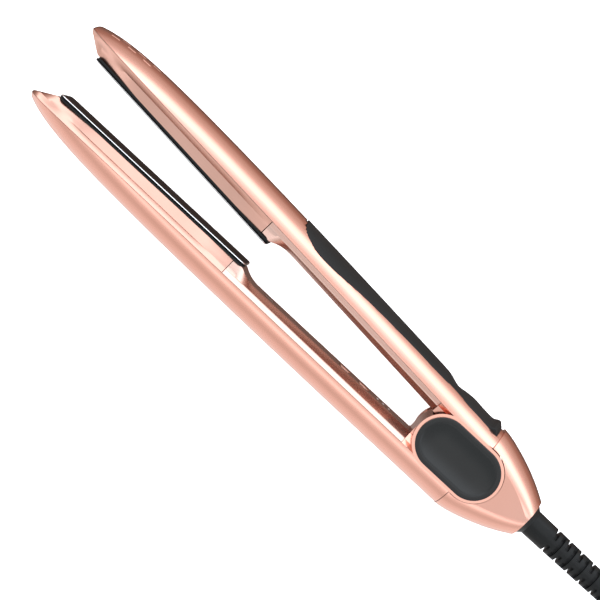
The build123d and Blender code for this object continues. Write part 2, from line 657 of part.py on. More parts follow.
def strain_relief():
    """Tapered boot with pairs of slots, turned a quarter turn from one to the next."""
    middle = Plane((boot_x + BOOT_LENGTH / 2, 0, 0), z_dir=(1, 0, 0))
    boot = middle * Cone(BOOT_RADIUS, BOOT_END_RADIUS, BOOT_LENGTH)
    core = rod(BOOT_CORE, (boot_x, 0, 0), BOOT_LENGTH, (1, 0, 0))
    cuts = []
    for n in range(BOOT_SLOTS):
        x = boot_x + BOOT_PLAIN + n * BOOT_PITCH
        y_slot = block(x, x + BOOT_SLOT, BOOT_SLOT_FLOOR, COLLAR_RADIUS, -COLLAR_RADIUS, COLLAR_RADIUS)
        x += BOOT_PITCH / 2
        z_slot = block(x, x + BOOT_SLOT, -COLLAR_RADIUS, COLLAR_RADIUS, BOOT_SLOT_FLOOR, COLLAR_RADIUS)
        cuts += [y_slot - core, mirror(y_slot, about=Plane.XZ) - core]
        cuts += [z_slot - core, mirror(z_slot, about=Plane.XY) - core]
    return boot - cuts


# ---- inside the lower handle

def circuit_board():
    return block(BOARD_END_X - BOARD_LENGTH, BOARD_END_X, -BOARD_DEPTH - BOARD_THICK, -BOARD_DEPTH,
                 -BOARD_WIDTH / 2, BOARD_WIDTH / 2)


def switches():
    """Two push switches on the board, under their buttons."""
    top = -LINER_FACE - LINER_WALL - BUTTON_STEM - BUTTON_TRAVEL - SWITCH_GAP
    half = SWITCH_SIZE / 2
    return Compound([block(x - half, x + half, -BOARD_DEPTH, top, -half, half) for x in (POWER_X, HEAT_X)])


def thermal_fuse():
    x = seam_x - FUSE_FROM_SEAM
    return rod(FUSE_RADIUS, (x - FUSE_LENGTH, -crease(x) - FUSE_RADIUS - FUSE_GAP, 0), FUSE_LENGTH, (1, 0, 0))


# ---- cord, laid on the surface the iron lies on

CORD_POINTS = (
    (boot_end_x, 0.0, 0.0),
    (boot_end_x + 17.0, 0.0, 0.0),
    (boot_end_x + 34.5, -2.5, -8.0),
    (boot_end_x + 53.0, -8.0, cord_z),
    (HANK_START_X + 8.0, -14.0, cord_z),
)
TAIL_POINTS = (
    (hank_end_x - 18.0, -14.0, cord_z + 17.5),
    (hank_end_x, -9.0, cord_z + 14.5),
    (hank_end_x + 17.0, 0.5, plug_z + 2.2),
    (hank_end_x + 32.5, PLUG_Y, plug_z),
    (plug_x, PLUG_Y, plug_z),
)


def tube(points):
    """Straight runs joined by arcs as large as the two runs allow."""
    corners = [Vector(*p) for p in points]
    radii = []
    for before, corner, after in zip(corners, corners[1:], corners[2:]):
        turn = math.radians((corner - before).get_angle(after - corner))
        shorter = min((corner - before).length, (after - corner).length)
        radii.append(0.45 * shorter / math.tan(turn / 2))
    print("cord bend radii", [round(r, 1) for r in radii])
    path = FilletPolyline(*corners, radius=radii)
    section = Plane(corners[0], z_dir=corners[1] - corners[0]) * Circle(CORD_RADIUS)
    solid = sweep(section, path=path)
    print("cord tube", round(path.length, 1), "mm, volume ratio",
          round(solid.volume / (math.pi * CORD_RADIUS ** 2 * path.length), 4))
    return solid


def hank_outline():
    """Plan of the hank: two round end loops drawn together in the middle."""
    near, far = HANK_START_X + HANK_LOOP, hank_end_x - HANK_LOOP
    middle = (near + far) / 2
    waist0, waist1 = middle - HANK_WAIST_RUN / 2, middle + HANK_WAIST_RUN / 2
    right = [(near, -HANK_LOOP), (waist0, -HANK_WAIST), (waist1, -HANK_WAIST), (far, -HANK_LOOP)]
    left = [(x, -y) for x, y in reversed(right)]
    sides = Polygon(*right, *left, align=None)
    return Pos(0, HANK_Y) * (sides + Pos(near, 0) * Circle(HANK_LOOP) + Pos(far, 0) * Circle(HANK_LOOP))


def hank_tie():
    """Strap round the hank's waist."""
    middle = (HANK_START_X + hank_end_x) / 2
    x0, x1 = middle - TIE_WIDTH / 2, middle + TIE_WIDTH / 2
    top = floor_z + HANK_HEIGHT
    strap = block(x0, x1, HANK_Y - HANK_WAIST, HANK_Y + HANK_WAIST, floor_z, top)
    inner = HANK_WAIST - TIE_THICK
    return strap - block(x0, x1, HANK_Y - inner, HANK_Y + inner, floor_z + TIE_THICK, top - TIE_THICK)


def cord_hank():
    return extrude(Pos(0, 0, floor_z) * hank_outline(), HANK_HEIGHT) - hank_tie()


def plug_body():
    """Flat two-pin plug with its own strain relief."""
    body_x = plug_x + PLUG_RELIEF_LENGTH
    steps = ((0, PLUG_NECK / 2), (PLUG_GRIP, PLUG_NECK), (PLUG_SHOULDER, PLUG_WIDTH), (1, PLUG_WIDTH))
    right = [(body_x + share * PLUG_LENGTH, -width / 2) for share, width in steps]
    outline = Polygon(*right, *[(x, -y) for x, y in reversed(right)], align=None)
    body = extrude(Pos(0, PLUG_Y, floor_z) * outline, PLUG_HEIGHT)
    body = chamfer(body.edges().group_by(Axis.Z)[-1] + body.edges().group_by(Axis.Z)[0], PLUG_CHAMFER)
    neck = Plane((plug_x + PLUG_RELIEF_LENGTH / 2, PLUG_Y, plug_z), z_dir=(1, 0, 0))
    body += neck * Cone(PLUG_RELIEF_RADIUS, PLUG_RELIEF_RADIUS + PLUG_RELIEF_TAPER, PLUG_RELIEF_LENGTH)
    return body


def plug_pins():
    pins = []
    for side in (-1, 1):
        start = (plug_x + PLUG_RELIEF_LENGTH + PLUG_LENGTH, PLUG_Y + side * PRONG_PITCH / 2, plug_z)
        prong = rod(PRONG_RADIUS, start, PRONG_LENGTH, (1, 0, 0))
        pins.append(fillet(prong.edges().group_by(Axis.X)[-1], PRONG_RADIUS / 2))
    return Compound(pins)


# ---- assembly

lower = {
    "lower_shell": arm_shell(),
    "lower_plate_carrier": plate_carrier(),
    "lower_handle_liner": handle_liner(buttons=True),
    "hinge_block": hinge_block(),
    "pivot_pin": pin(),
    "pivot_washers": washers(),
    "hinge_cover_upper_side": hinge_cover(),
    "hinge_cover_lower_side": mirror(hinge_cover(), about=Plane.XY),
    "tail_cap": tail_cap(),
    "swivel_retainer": swivel_retainer(),
    "lower_gasket": plate_gasket(),
    "lower_plate": heated_plate(),
    "lower_heater": centred_on_plate(HEATER_LENGTH, HEATER_WIDTH, plate_back_depth, heater_depth),
    "lower_insulator": centred_on_plate(HEATER_LENGTH + 2 * INSULATOR_MARGIN,
                                        HEATER_WIDTH + 2 * INSULATOR_MARGIN, heater_depth, insulator_depth),
    "lower_cushions": Compound([
        centred_on_plate(CUSHION_LENGTH, CUSHION_WIDTH, insulator_depth, CARRIER_FLOOR, offset)
        for offset in (-CUSHION_SPACING / 2, CUSHION_SPACING / 2)
    ]),
    "lower_screws": Compound([screw(x) for x in screw_places]),
    "thermal_fuse": thermal_fuse(),
    "circuit_board": circuit_board(),
    "board_switches": switches(),
    "power_button": button(POWER_X),
    "heat_button": button(HEAT_X),
    "status_lights": Compound([lens(n) for n in range(3)]),
    "swivel_collar": swivel_collar(),
    "strain_relief": strain_relief(),
    "opening_spring": opening_spring(),
    "cord_tube": tube(CORD_POINTS),
    "cord_hank": cord_hank(),
    "cord_tail": tube(TAIL_POINTS),
    "hank_tie": hank_tie(),
    "plug_body": plug_body(),
    "plug_pins": plug_pins(),
}
upper = {
    "upper_shell": upper_back(),
    "upper_plate_carrier": plate_carrier(),
    "upper_handle_liner": handle_liner(buttons=False),
    "upper_knuckle": knuckle(),
    "grip_pad": grip_pad(),
    "upper_screws": Compound([screw(x) for x in screw_places]),
}
for name in ("gasket", "plate", "heater", "insulator", "cushions"):
    upper["upper_" + name] = lower["lower_" + name]

pieces = dict(lower)
pieces.update({name: as_upper(solid) for name, solid in upper.items()})

CORD_NODES = ("cord_tube", "cord_hank", "cord_tail", "hank_tie", "plug_body", "plug_pins")
body_box = Compound([solid for name, solid in pieces.items() if name not in CORD_NODES]).bounding_box()
shift = Pos(-(body_box.min.X + body_box.max.X) / 2, -(body_box.min.Y + body_box.max.Y) / 2, -body_box.min.Z)

os.makedirs("parts", exist_ok=True)
for name, solid in pieces.items():
    export_step(shift * solid, os.path.join("parts", name + ".step"))
print("hinge axis at", [round(v, 4) for v in shift.position])
print("body box", body_box.size)
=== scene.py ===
"""Flat iron lying on its side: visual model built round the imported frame.

Lengths in the classes are millimetres about the hinge axis: x runs from the tips to the
tail, y from the fixed arm to the moving arm, z along the hinge pin, away from the table.
"""

import json
import logging
import math
from dataclasses import dataclass
from enum import Enum
from typing import Callable, Optional, Sequence, Union

import bpy
import numpy as np
from mathutils import Matrix, Vector


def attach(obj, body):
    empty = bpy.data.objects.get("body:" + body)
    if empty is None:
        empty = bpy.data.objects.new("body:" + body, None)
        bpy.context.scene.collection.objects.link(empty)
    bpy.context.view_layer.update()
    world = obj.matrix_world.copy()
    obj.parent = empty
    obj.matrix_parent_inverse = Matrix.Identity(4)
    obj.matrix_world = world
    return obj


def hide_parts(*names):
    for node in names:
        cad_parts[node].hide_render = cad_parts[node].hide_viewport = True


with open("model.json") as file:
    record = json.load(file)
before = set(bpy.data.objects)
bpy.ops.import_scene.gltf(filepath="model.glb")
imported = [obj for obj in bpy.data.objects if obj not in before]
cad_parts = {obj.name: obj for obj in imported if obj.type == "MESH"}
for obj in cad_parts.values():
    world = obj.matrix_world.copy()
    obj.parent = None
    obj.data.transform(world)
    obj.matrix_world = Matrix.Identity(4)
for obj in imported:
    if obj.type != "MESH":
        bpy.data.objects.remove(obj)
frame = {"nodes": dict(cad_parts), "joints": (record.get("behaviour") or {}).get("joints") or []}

logging.basicConfig(level=logging.INFO, format="%(message)s")
log = logging.getLogger("flat_iron")

MM = 0.001
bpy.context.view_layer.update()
HINGE = next(j for j in frame["joints"] if j["name"] == "arm_hinge")["pos_m"]

# Sizes shared by several sub-assemblies, millimetres.
ARM_LENGTH = 248.3
HALF_WIDTH = 15.0
BACK_DEPTH = 21.9
REAR_X = -2.0
PLATE_FROM_TIP = 11.3
PLATE_LENGTH = 106.7
HEEL_HOLD = 5.2
OPEN_ANGLE = math.radians(4.55)
MIRROR_Y = -0.55
TIP_X = -ARM_LENGTH
SEAM_X = TIP_X + PLATE_FROM_TIP + PLATE_LENGTH - HEEL_HOLD
HINGE_SEAM_X = -31.0
COVER_FACE = 17.0
SURROUND_FACE = 15.7

# Rounding of moulded edges: millimetres, steps, and the least angle in degrees.
EDGE_WIDTH, EDGE_SEGMENTS, EDGE_ANGLE = 0.3, 2, 32.0


class Body(Enum):
    """The bodies that pieces ride on."""

    LOWER = "lower_arm"
    UPPER = "upper_arm"
    LOWER_PLATE = "lower_plate_group"
    UPPER_PLATE = "upper_plate_group"


class Side(Enum):
    """Which arm a piece belongs to."""

    FIXED = "lower"
    MOVING = "upper"


# ---------------------------------------------------------------- shader maths

Operand = Union["Value", float]


class Value:
    """A shader socket that carries one number, with operators that add Math nodes."""

    def __init__(self, graph: "Graph", socket: bpy.types.NodeSocket) -> None:
        """Keeps the graph and the socket."""
        self.graph = graph
        self.socket = socket

    def _math(self, operation: str, *values: Operand) -> "Value":
        """Adds a Math node of that operation."""
        return self.graph.node("ShaderNodeMath", {"operation": operation}, list(values))

    def __add__(self, other: Operand) -> "Value":
        """Sum."""
        return self._math("ADD", self, other)

    def __radd__(self, other: Operand) -> "Value":
        """Sum with the number first."""
        return self._math("ADD", other, self)

    def __mul__(self, other: Operand) -> "Value":
        """Product."""
        return self._math("MULTIPLY", self, other)

    def __rmul__(self, other: Operand) -> "Value":
        """Product with the number first."""
        return self._math("MULTIPLY", other, self)

    def step(self, low: float, high: float) -> "Value":
        """Smooth step: 0 below low and 1 above high."""
        inputs = {"Value": self, "From Min": low, "From Max": high}
        return self.graph.node("ShaderNodeMapRange", {"interpolation_type": "SMOOTHSTEP"}, inputs)


class Graph:
    """The node tree of one material."""

    def __init__(self, name: str) -> None:
        """Starts a material with a Principled shader on its output."""
        self.material = bpy.data.materials.new(name)
        self.material.use_nodes = True
        self.tree = self.material.node_tree
        self.tree.nodes.clear()
        self.shader = self.tree.nodes.new("ShaderNodeBsdfPrincipled")
        output = self.tree.nodes.new("ShaderNodeOutputMaterial")
        self.tree.links.new(self.shader.outputs["BSDF"], output.inputs["Surface"])

    def node(
        self,
        kind: str,
        settings: dict[str, object],
        inputs: Union[Sequence[object], dict[str, object]],
        output: Union[int, str] = 0,
    ) -> Value:
        """Adds a node.

        Args:
            kind: the node's type.
            settings: properties, set first.
            inputs: numbers, colours or Values for its sockets, in order or by name.
            output: which output to return.

        Returns:
            The output as a Value.
        """
        made = self.tree.nodes.new(kind)
        for key, value in settings.items():
            setattr(made, key, value)
        pairs = inputs.items() if isinstance(inputs, dict) else enumerate(inputs)
        for key, value in pairs:
            if isinstance(value, Value):
                self.tree.links.new(value.socket, made.inputs[key])
            else:
                made.inputs[key].default_value = value
        return Value(self, made.outputs[output])

    def place(self, turn: Sequence[float] = (0, 0, 0), stretch: Sequence[float] = (1, 1, 1)) -> Value:
        """Object coordinates, turned and stretched by a Mapping node."""
        coords = self.node("ShaderNodeTexCoord", {}, {}, "Object")
        inputs = {"Vector": coords, "Rotation": tuple(turn), "Scale": tuple(stretch)}
        return self.node("ShaderNodeMapping", {"vector_type": "POINT"}, inputs)

    def noise(self, where: Value, scale: float, detail: float = 3.0, rough: float = 0.55) -> Value:
        """Fractal noise of that scale, per metre."""
        inputs = {"Vector": where, "Scale": scale, "Detail": detail, "Roughness": rough}
        return self.node("ShaderNodeTexNoise", {}, inputs, "Fac")

    def mix(self, share: Operand, first: object, second: object) -> Value:
        """Colour mix of first and second."""
        made = self.tree.nodes.new("ShaderNodeMix")
        made.data_type, made.clamp_factor = "RGBA", True
        for key, value in (("Factor_Float", share), ("A_Color", first), ("B_Color", second)):
            socket = next(s for s in made.inputs if s.identifier == key)
            if isinstance(value, Value):
                self.tree.links.new(value.socket, socket)
            else:
                socket.default_value = value
        return Value(self, next(s for s in made.outputs if s.identifier == "Result_Color"))

    def bump(self, height: Value, strength: float, distance: float) -> Value:
        """Normal from a height, with the distance in metres."""
        inputs = {"Strength": strength, "Distance": distance, "Height": height}
        return self.node("ShaderNodeBump", {}, inputs, "Normal")

    def set(self, **sockets: object) -> None:
        """Sets or links the shader's sockets, underscores standing for spaces."""
        for key, value in sockets.items():
            socket = self.shader.inputs[key.replace("_", " ")]
            if isinstance(value, Value):
                self.tree.links.new(value.socket, socket)
            else:
                socket.default_value = value


Colour = tuple[float, float, float]


@dataclass(frozen=True)
class Finish:
    """A finish whose colour, gloss and grain wander a little over the surface.

    The colour mixes two tones by large noise; roughness follows a finer noise; the bump
    is grain of a given size. stretch draws the grain out along an axis, as brushing does.
    """

    name: str
    tone: Colour
    second: Colour
    metallic: float = 0.0
    rough: float = 0.4
    rough_swing: float = 0.08
    coat: float = 0.0
    coat_rough: float = 0.15
    blotch: float = 60.0
    grain: float = 2500.0
    grain_depth: float = 0.00002
    grain_strength: float = 0.25
    stretch: tuple[float, float, float] = (1.0, 1.0, 1.0)
    specular: float = 0.5
    transmission: float = 0.0
    sheen: float = 0.0

    def colour(self, graph: Graph) -> Value:
        """Two tones mixed by blotches of noise."""
        share = graph.noise(graph.place(), self.blotch, 4.0, 0.6).step(0.3, 0.7)
        return graph.mix(share, (*self.tone, 1), (*self.second, 1))

    def height(self, graph: Graph) -> Value:
        """Height field for the bump."""
        return graph.noise(graph.place(stretch=self.stretch), self.grain, 2.0)

    def build(self) -> bpy.types.Material:
        """Makes the material."""
        graph = Graph(self.name)
        fine = graph.noise(graph.place(stretch=self.stretch), self.grain * 0.35, 3.0)
        rough = fine * (2 * self.rough_swing) + (self.rough - self.rough_swing)
        graph.set(
            Base_Color=self.colour(graph), Metallic=self.metallic, Roughness=rough,
            Coat_Weight=self.coat, Coat_Roughness=self.coat_rough, Specular_IOR_Level=self.specular,
            Transmission_Weight=self.transmission, Sheen_Weight=self.sheen,
            Normal=graph.bump(self.height(graph), self.grain_strength, self.grain_depth),
        )
        return graph.material


@dataclass(frozen=True)
class Speckled(Finish):
    """A finish with small flecks, as in a filled coating."""

    fleck: Colour = (0.1, 0.1, 0.1)
    fleck_scale: float = 4000.0
    fleck_share: float = 0.62

    def colour(self, graph: Graph) -> Value:
        """The two tones with flecks where fine noise is high."""
        base = super().colour(graph)
        noise = graph.noise(graph.place(), self.fleck_scale, 1.0, 0.4)
        flecks = noise.step(self.fleck_share, self.fleck_share + 0.05)
        return graph.mix(flecks * 0.5, base, (*self.fleck, 1))


@dataclass(frozen=True)
class Woven(Finish):
    """Plain weave: two crossed sine waves, added."""

    thread: float = 0.7 * MM
    waves: float = 0.3125

    def height(self, graph: Graph) -> Value:
        """Sum of waves across and along the strap."""
        inputs = {"Vector": graph.place(), "Scale": self.waves / self.thread, "Distortion": 0.6}
        across, along = (
            graph.node("ShaderNodeTexWave", {"bands_direction": axis, "wave_profile": "SIN"}, inputs, "Fac")
            for axis in "XY")
        return across + along


@dataclass(frozen=True)
class Laminate(Finish):
    """Circuit board: green mask with tracks where a brick pattern's joints run."""

    def colour(self, graph: Graph) -> Value:
        """Mask with paler tracks."""
        inputs = {"Vector": graph.place(turn=(math.pi / 2, 0, 0)), "Scale": 180.0, "Mortar Size": 0.05}
        tracks = graph.node("ShaderNodeTexBrick", {}, inputs, "Fac")
        return graph.mix(tracks, (*self.tone, 1), (*self.second, 1))


ROSE_GOLD = Finish("rose gold lacquer", (0.76, 0.385, 0.295), (0.80, 0.42, 0.33), metallic=1.0, rough=0.2,
                   rough_swing=0.03, coat=0.2, coat_rough=0.12, blotch=14.0, grain=3800.0,
                   grain_depth=0.000003, grain_strength=0.06)
# The plate carriers' rose gold: rougher than the shell's, and its tone darkened by about a fifth as painted
# shade on the carrier walls.
ROSE_GOLD_SATIN_SHADED = Finish("rose gold satin painted shade", (0.62, 0.345, 0.27), (0.66, 0.375, 0.30), metallic=1.0,
                         rough=0.3, rough_swing=0.04, blotch=25.0, grain=4200.0, grain_depth=0.000006,
                         grain_strength=0.12)
HANDLE_ROSE = Finish("rose gold handle", (0.66, 0.43, 0.36), (0.70, 0.46, 0.39), metallic=1.0, rough=0.26,
                     rough_swing=0.03, blotch=20.0, grain=4000.0, grain_depth=0.000004, grain_strength=0.08)
GRIP = Finish("soft grip", (0.0085, 0.008, 0.0078), (0.0125, 0.012, 0.0118), rough=0.55, rough_swing=0.08,
              blotch=40.0, grain=5200.0, grain_depth=0.00003, grain_strength=0.3, specular=0.25)
COVER_BLACK = Finish("hinge cover plastic", (0.003, 0.0028, 0.0027), (0.0045, 0.0042, 0.004),
                     rough=0.24, rough_swing=0.03, blotch=50.0, grain=6000.0, grain_depth=0.000005,
                     grain_strength=0.06, specular=0.4)
PLATE_BLACK = Speckled("plate coating", (0.002, 0.002, 0.002), (0.004, 0.004, 0.004),
                       rough=0.3, rough_swing=0.04, blotch=70.0, grain=900.0, grain_depth=0.000004,
                       specular=0.03, stretch=(0.08, 1.0, 1.0), grain_strength=0.2, fleck=(0.05, 0.05, 0.055))
SEAL = Finish("seal rubber", (0.006, 0.006, 0.006), (0.010, 0.010, 0.010), rough=0.5, grain=4000.0,
              grain_depth=0.00002, specular=0.2)
SILICONE = Finish("grey silicone", (0.27, 0.28, 0.29), (0.33, 0.34, 0.35), rough=0.55, grain=4000.0,
                  grain_depth=0.00002)
CERAMIC = Finish("heater ceramic", (0.70, 0.67, 0.60), (0.76, 0.73, 0.67), rough=0.7, grain=2500.0)
MICA = Finish("insulator sheet", (0.50, 0.37, 0.17), (0.62, 0.48, 0.26), rough=0.35, blotch=220.0,
              stretch=(0.3, 1.0, 1.0))
STEEL = Finish("spring steel", (0.52, 0.53, 0.54), (0.60, 0.61, 0.62), metallic=1.0, rough=0.28, grain=1800.0,
               stretch=(0.05, 1.0, 1.0), grain_depth=0.00001)
BRASS = Finish("washer brass", (0.72, 0.54, 0.25), (0.80, 0.62, 0.32), metallic=1.0, rough=0.3, grain=1500.0)
CONTROL = Finish("control plastic", (0.035, 0.035, 0.036), (0.05, 0.05, 0.051), rough=0.38, grain=5000.0,
                 grain_depth=0.00002)
PLATE_EDGE = Finish("bare plate edge", (0.80, 0.80, 0.81), (0.88, 0.88, 0.89), metallic=1.0, rough=0.22,
                    rough_swing=0.04, grain=1500.0, stretch=(0.05, 1.0, 1.0), grain_depth=0.000004)
LENS = Finish("status lens", (0.50, 0.44, 0.42), (0.60, 0.54, 0.52), rough=0.25, transmission=0.3,
              grain=3000.0, grain_depth=0.00001)
BOARD = Laminate("board laminate", (0.012, 0.10, 0.035), (0.03, 0.19, 0.07), rough=0.35, coat=0.4)
FUSE = Finish("fuse body", (0.72, 0.72, 0.70), (0.80, 0.80, 0.78), rough=0.5)
SWIVEL_BLACK = Finish("swivel plastic", (0.006, 0.006, 0.006), (0.009, 0.009, 0.009), rough=0.4,
                      grain=5200.0, grain_depth=0.00003, grain_strength=0.25, specular=0.25)
BOOT_BLACK = Finish("boot rubber", (0.005, 0.005, 0.005), (0.008, 0.008, 0.008), rough=0.45, grain=4600.0,
                    grain_depth=0.00004, grain_strength=0.3, specular=0.2)
CORD_BLACK = Finish("cord jacket", (0.006, 0.006, 0.006), (0.010, 0.010, 0.010), rough=0.45, grain=3600.0,
                    grain_depth=0.00003, grain_strength=0.3, blotch=30.0, specular=0.3)
STRAP = Woven("tie strap", (0.018, 0.018, 0.019), (0.032, 0.032, 0.034), rough=0.8, grain_depth=0.0002,
              grain_strength=0.6, sheen=0.3)
PLUG_BLACK = Finish("plug plastic", (0.018, 0.018, 0.019), (0.026, 0.026, 0.027), rough=0.42, grain=4200.0,
                    grain_depth=0.00005, grain_strength=0.4)
NICKEL = Finish("nickel plate", (0.62, 0.60, 0.56), (0.68, 0.66, 0.62), metallic=1.0, rough=0.16, grain=1200.0,
                stretch=(0.05, 1.0, 1.0), grain_depth=0.000005)

# Nodes of each finish; a star stands for either arm.
FINISHED: tuple[tuple[Finish, str], ...] = (
    (ROSE_GOLD, "hinge_block upper_knuckle tail_cap *_shell"), (ROSE_GOLD_SATIN_SHADED, "*_plate_carrier"),
    (HANDLE_ROSE, "*_handle_liner power_button heat_button"), (GRIP, "grip_pad"),
    (COVER_BLACK, "hinge_cover_upper_side hinge_cover_lower_side"), (PLATE_BLACK, "*_plate"),
    (SEAL, "*_gasket"), (SILICONE, "*_cushions"), (CERAMIC, "*_heater"), (MICA, "*_insulator"),
    (STEEL, "opening_spring *_screws pivot_pin"), (BRASS, "pivot_washers"), (CONTROL, "board_switches"),
    (LENS, "status_lights"), (BOARD, "circuit_board"), (FUSE, "thermal_fuse"),
    (SWIVEL_BLACK, "swivel_collar swivel_retainer"), (BOOT_BLACK, "strain_relief"),
    (CORD_BLACK, "cord_tube cord_hank cord_tail"), (STRAP, "hank_tie"), (PLUG_BLACK, "plug_body"),
    (NICKEL, "plug_pins"),
)
NODE_FINISHES = {name.replace("*", side.value): finish for finish, names in FINISHED
                 for name in names.split() for side in Side}


class Paint:
    """Makes each finish's material once."""

    def __init__(self) -> None:
        """Starts with nothing made."""
        self._made: dict[str, bpy.types.Material] = {}

    def of(self, finish: Finish) -> bpy.types.Material:
        """The material of a finish."""
        if finish.name not in self._made:
            self._made[finish.name] = finish.build()
        return self._made[finish.name]


PAINT = Paint()


# ---------------------------------------------------------------- shapes


def to_row(points: np.ndarray) -> np.ndarray:
    """Millimetres about the hinge axis to metres in the row frame."""
    return np.asarray(HINGE) + np.asarray(points, float) * MM


def on_moving_arm(points: np.ndarray) -> np.ndarray:
    """Mirrors fixed-arm points about the plane between the arms, then opens them.

    The mirror keeps x and z and turns y into twice the plane's height less y; the turn
    is by the opening angle, clockwise about the hinge axis.
    """
    x, y, z = points[..., 0], 2 * MIRROR_Y - points[..., 1], points[..., 2]
    cos, sin = math.cos(OPEN_ANGLE), math.sin(OPEN_ANGLE)
    return np.stack([x * cos + y * sin, y * cos - x * sin, z], axis=-1)


def mesh_from(name: str, points: np.ndarray, faces: Sequence[Sequence[int]], sharp: float) -> bpy.types.Object:
    """Mesh object from points in millimetres, its faces turned outwards.

    The signed volume is the sum over fan triangles of a corner dotted with the cross
    product of the other two, over six; where it is negative every face is reversed.

    Args:
        name: the piece's name.
        points: n by 3 array about the hinge axis.
        faces: corner numbers of each face.
        sharp: edges steeper than this many degrees stay crisp.

    Returns:
        The object, linked to the scene.
    """
    flat = points.reshape(-1, 3)
    fan = np.array([(f[0], f[i], f[i + 1]) for f in faces for i in range(1, len(f) - 1)])
    a, b, c = flat[fan[:, 0]], flat[fan[:, 1]], flat[fan[:, 2]]
    if float(np.einsum("ij,ij->i", a, np.cross(b, c)).sum()) < 0:
        faces = [list(reversed(f)) for f in faces]
    mesh = bpy.data.meshes.new(name)
    mesh.from_pydata(to_row(flat).tolist(), [], [list(f) for f in faces])
    mesh.polygons.foreach_set("use_smooth", np.ones(len(mesh.polygons), bool))
    mesh.set_sharp_from_angle(angle=math.radians(sharp))
    mesh.update()
    piece = bpy.data.objects.new(name, mesh)
    bpy.context.scene.collection.objects.link(piece)
    return piece


def swept(name: str, loops: np.ndarray, sharp: float = 35.0) -> bpy.types.Object:
    """A body from loops of points carried along a path, capped at both ends.

    Args:
        name: the piece's name.
        loops: stations by points by 3, each station a closed loop.
        sharp: crease angle in degrees.

    Returns:
        The object.
    """
    stations, around = loops.shape[:2]
    first = np.arange(stations - 1)[:, None] * around
    here = np.arange(around)[None, :]
    there = (here + 1) % around
    corners = [first + here, first + there, first + around + there, first + around + here]
    caps = [list(range(around))[::-1], list(range((stations - 1) * around, stations * around))]
    return mesh_from(name, loops, np.stack(corners, axis=-1).reshape(-1, 4).tolist() + caps, sharp)


def cut(piece: bpy.types.Object, tools: Sequence[bpy.types.Object], sharp: float = 35.0) -> None:
    """Cuts the tools out of a piece, in its mesh, and removes them."""
    for tool in tools:
        change = piece.modifiers.new("cut", "BOOLEAN")
        change.operation, change.solver, change.object = "DIFFERENCE", "EXACT", tool
    depsgraph = bpy.context.evaluated_depsgraph_get()
    mesh = bpy.data.meshes.new_from_object(piece.evaluated_get(depsgraph))
    piece.modifiers.clear()
    piece.data = mesh
    mesh.name = piece.name
    mesh.polygons.foreach_set("use_smooth", np.ones(len(mesh.polygons), bool))
    mesh.set_sharp_from_angle(angle=math.radians(sharp))
    for tool in tools:
        bpy.data.objects.remove(tool)


def soften(piece: bpy.types.Object) -> None:
    """Rounds the crisp edges of a moulded piece."""
    bevel = piece.modifiers.new("edges", "BEVEL")
    bevel.width, bevel.segments = EDGE_WIDTH * MM, EDGE_SEGMENTS
    bevel.limit_method, bevel.angle_limit = "ANGLE", math.radians(EDGE_ANGLE)


def rod(name: str, radius: float, start: Sequence[float], end: Sequence[float], sides: int) -> bpy.types.Object:
    """A cylinder between two points: cosine and sine of the angle carried along its axis."""
    low, high = np.asarray(start, float), np.asarray(end, float)
    along = (high - low) / np.linalg.norm(high - low)
    across = np.cross(along, (0, 0, 1) if abs(along[2]) < 0.9 else (1, 0, 0))
    across /= np.linalg.norm(across)
    other = np.cross(along, across)
    turn = np.linspace(0, 2 * np.pi, sides, endpoint=False)
    ring = radius * (np.cos(turn)[:, None] * across + np.sin(turn)[:, None] * other)
    return swept(name, np.stack([low + ring, high + ring]))


def through(places: Sequence[float], heights: Sequence[float], x: np.ndarray) -> np.ndarray:
    """Smooth curve through points: a cubic between each pair, its slopes the mean of the chords' slopes."""
    px, py = np.asarray(places, float), np.asarray(heights, float)
    chord = np.diff(py) / np.diff(px)
    slope = np.concatenate([[chord[0]], (chord[1:] + chord[:-1]) / 2, [chord[-1]]])
    span = np.clip(np.searchsorted(px, x) - 1, 0, len(px) - 2)
    width = px[span + 1] - px[span]
    t = np.clip((x - px[span]) / width, 0, 1)
    return (
        (2 * t**3 - 3 * t**2 + 1) * py[span] + (t**3 - 2 * t**2 + t) * width * slope[span]
        + (3 * t**2 - 2 * t**3) * py[span + 1] + (t**3 - t**2) * width * slope[span + 1]
    )


def smooth(share: np.ndarray) -> np.ndarray:
    """Smooth step: three times the square less twice the cube, held to 0 and 1."""
    t = np.clip(share, 0, 1)
    return 3 * t**2 - 2 * t**3


def finish_piece(piece: bpy.types.Object, body: Body, finish: Finish, slot: str, *nodes: str) -> None:
    """Dresses a new piece and ties it to the frame."""
    piece.data.materials.clear()
    piece.data.materials.append(PAINT.of(finish))
    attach(piece, body.value)
    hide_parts(*nodes)
    log.info("%s: %s", piece.name, ", ".join(nodes))


# ---------------------------------------------------------------- arms


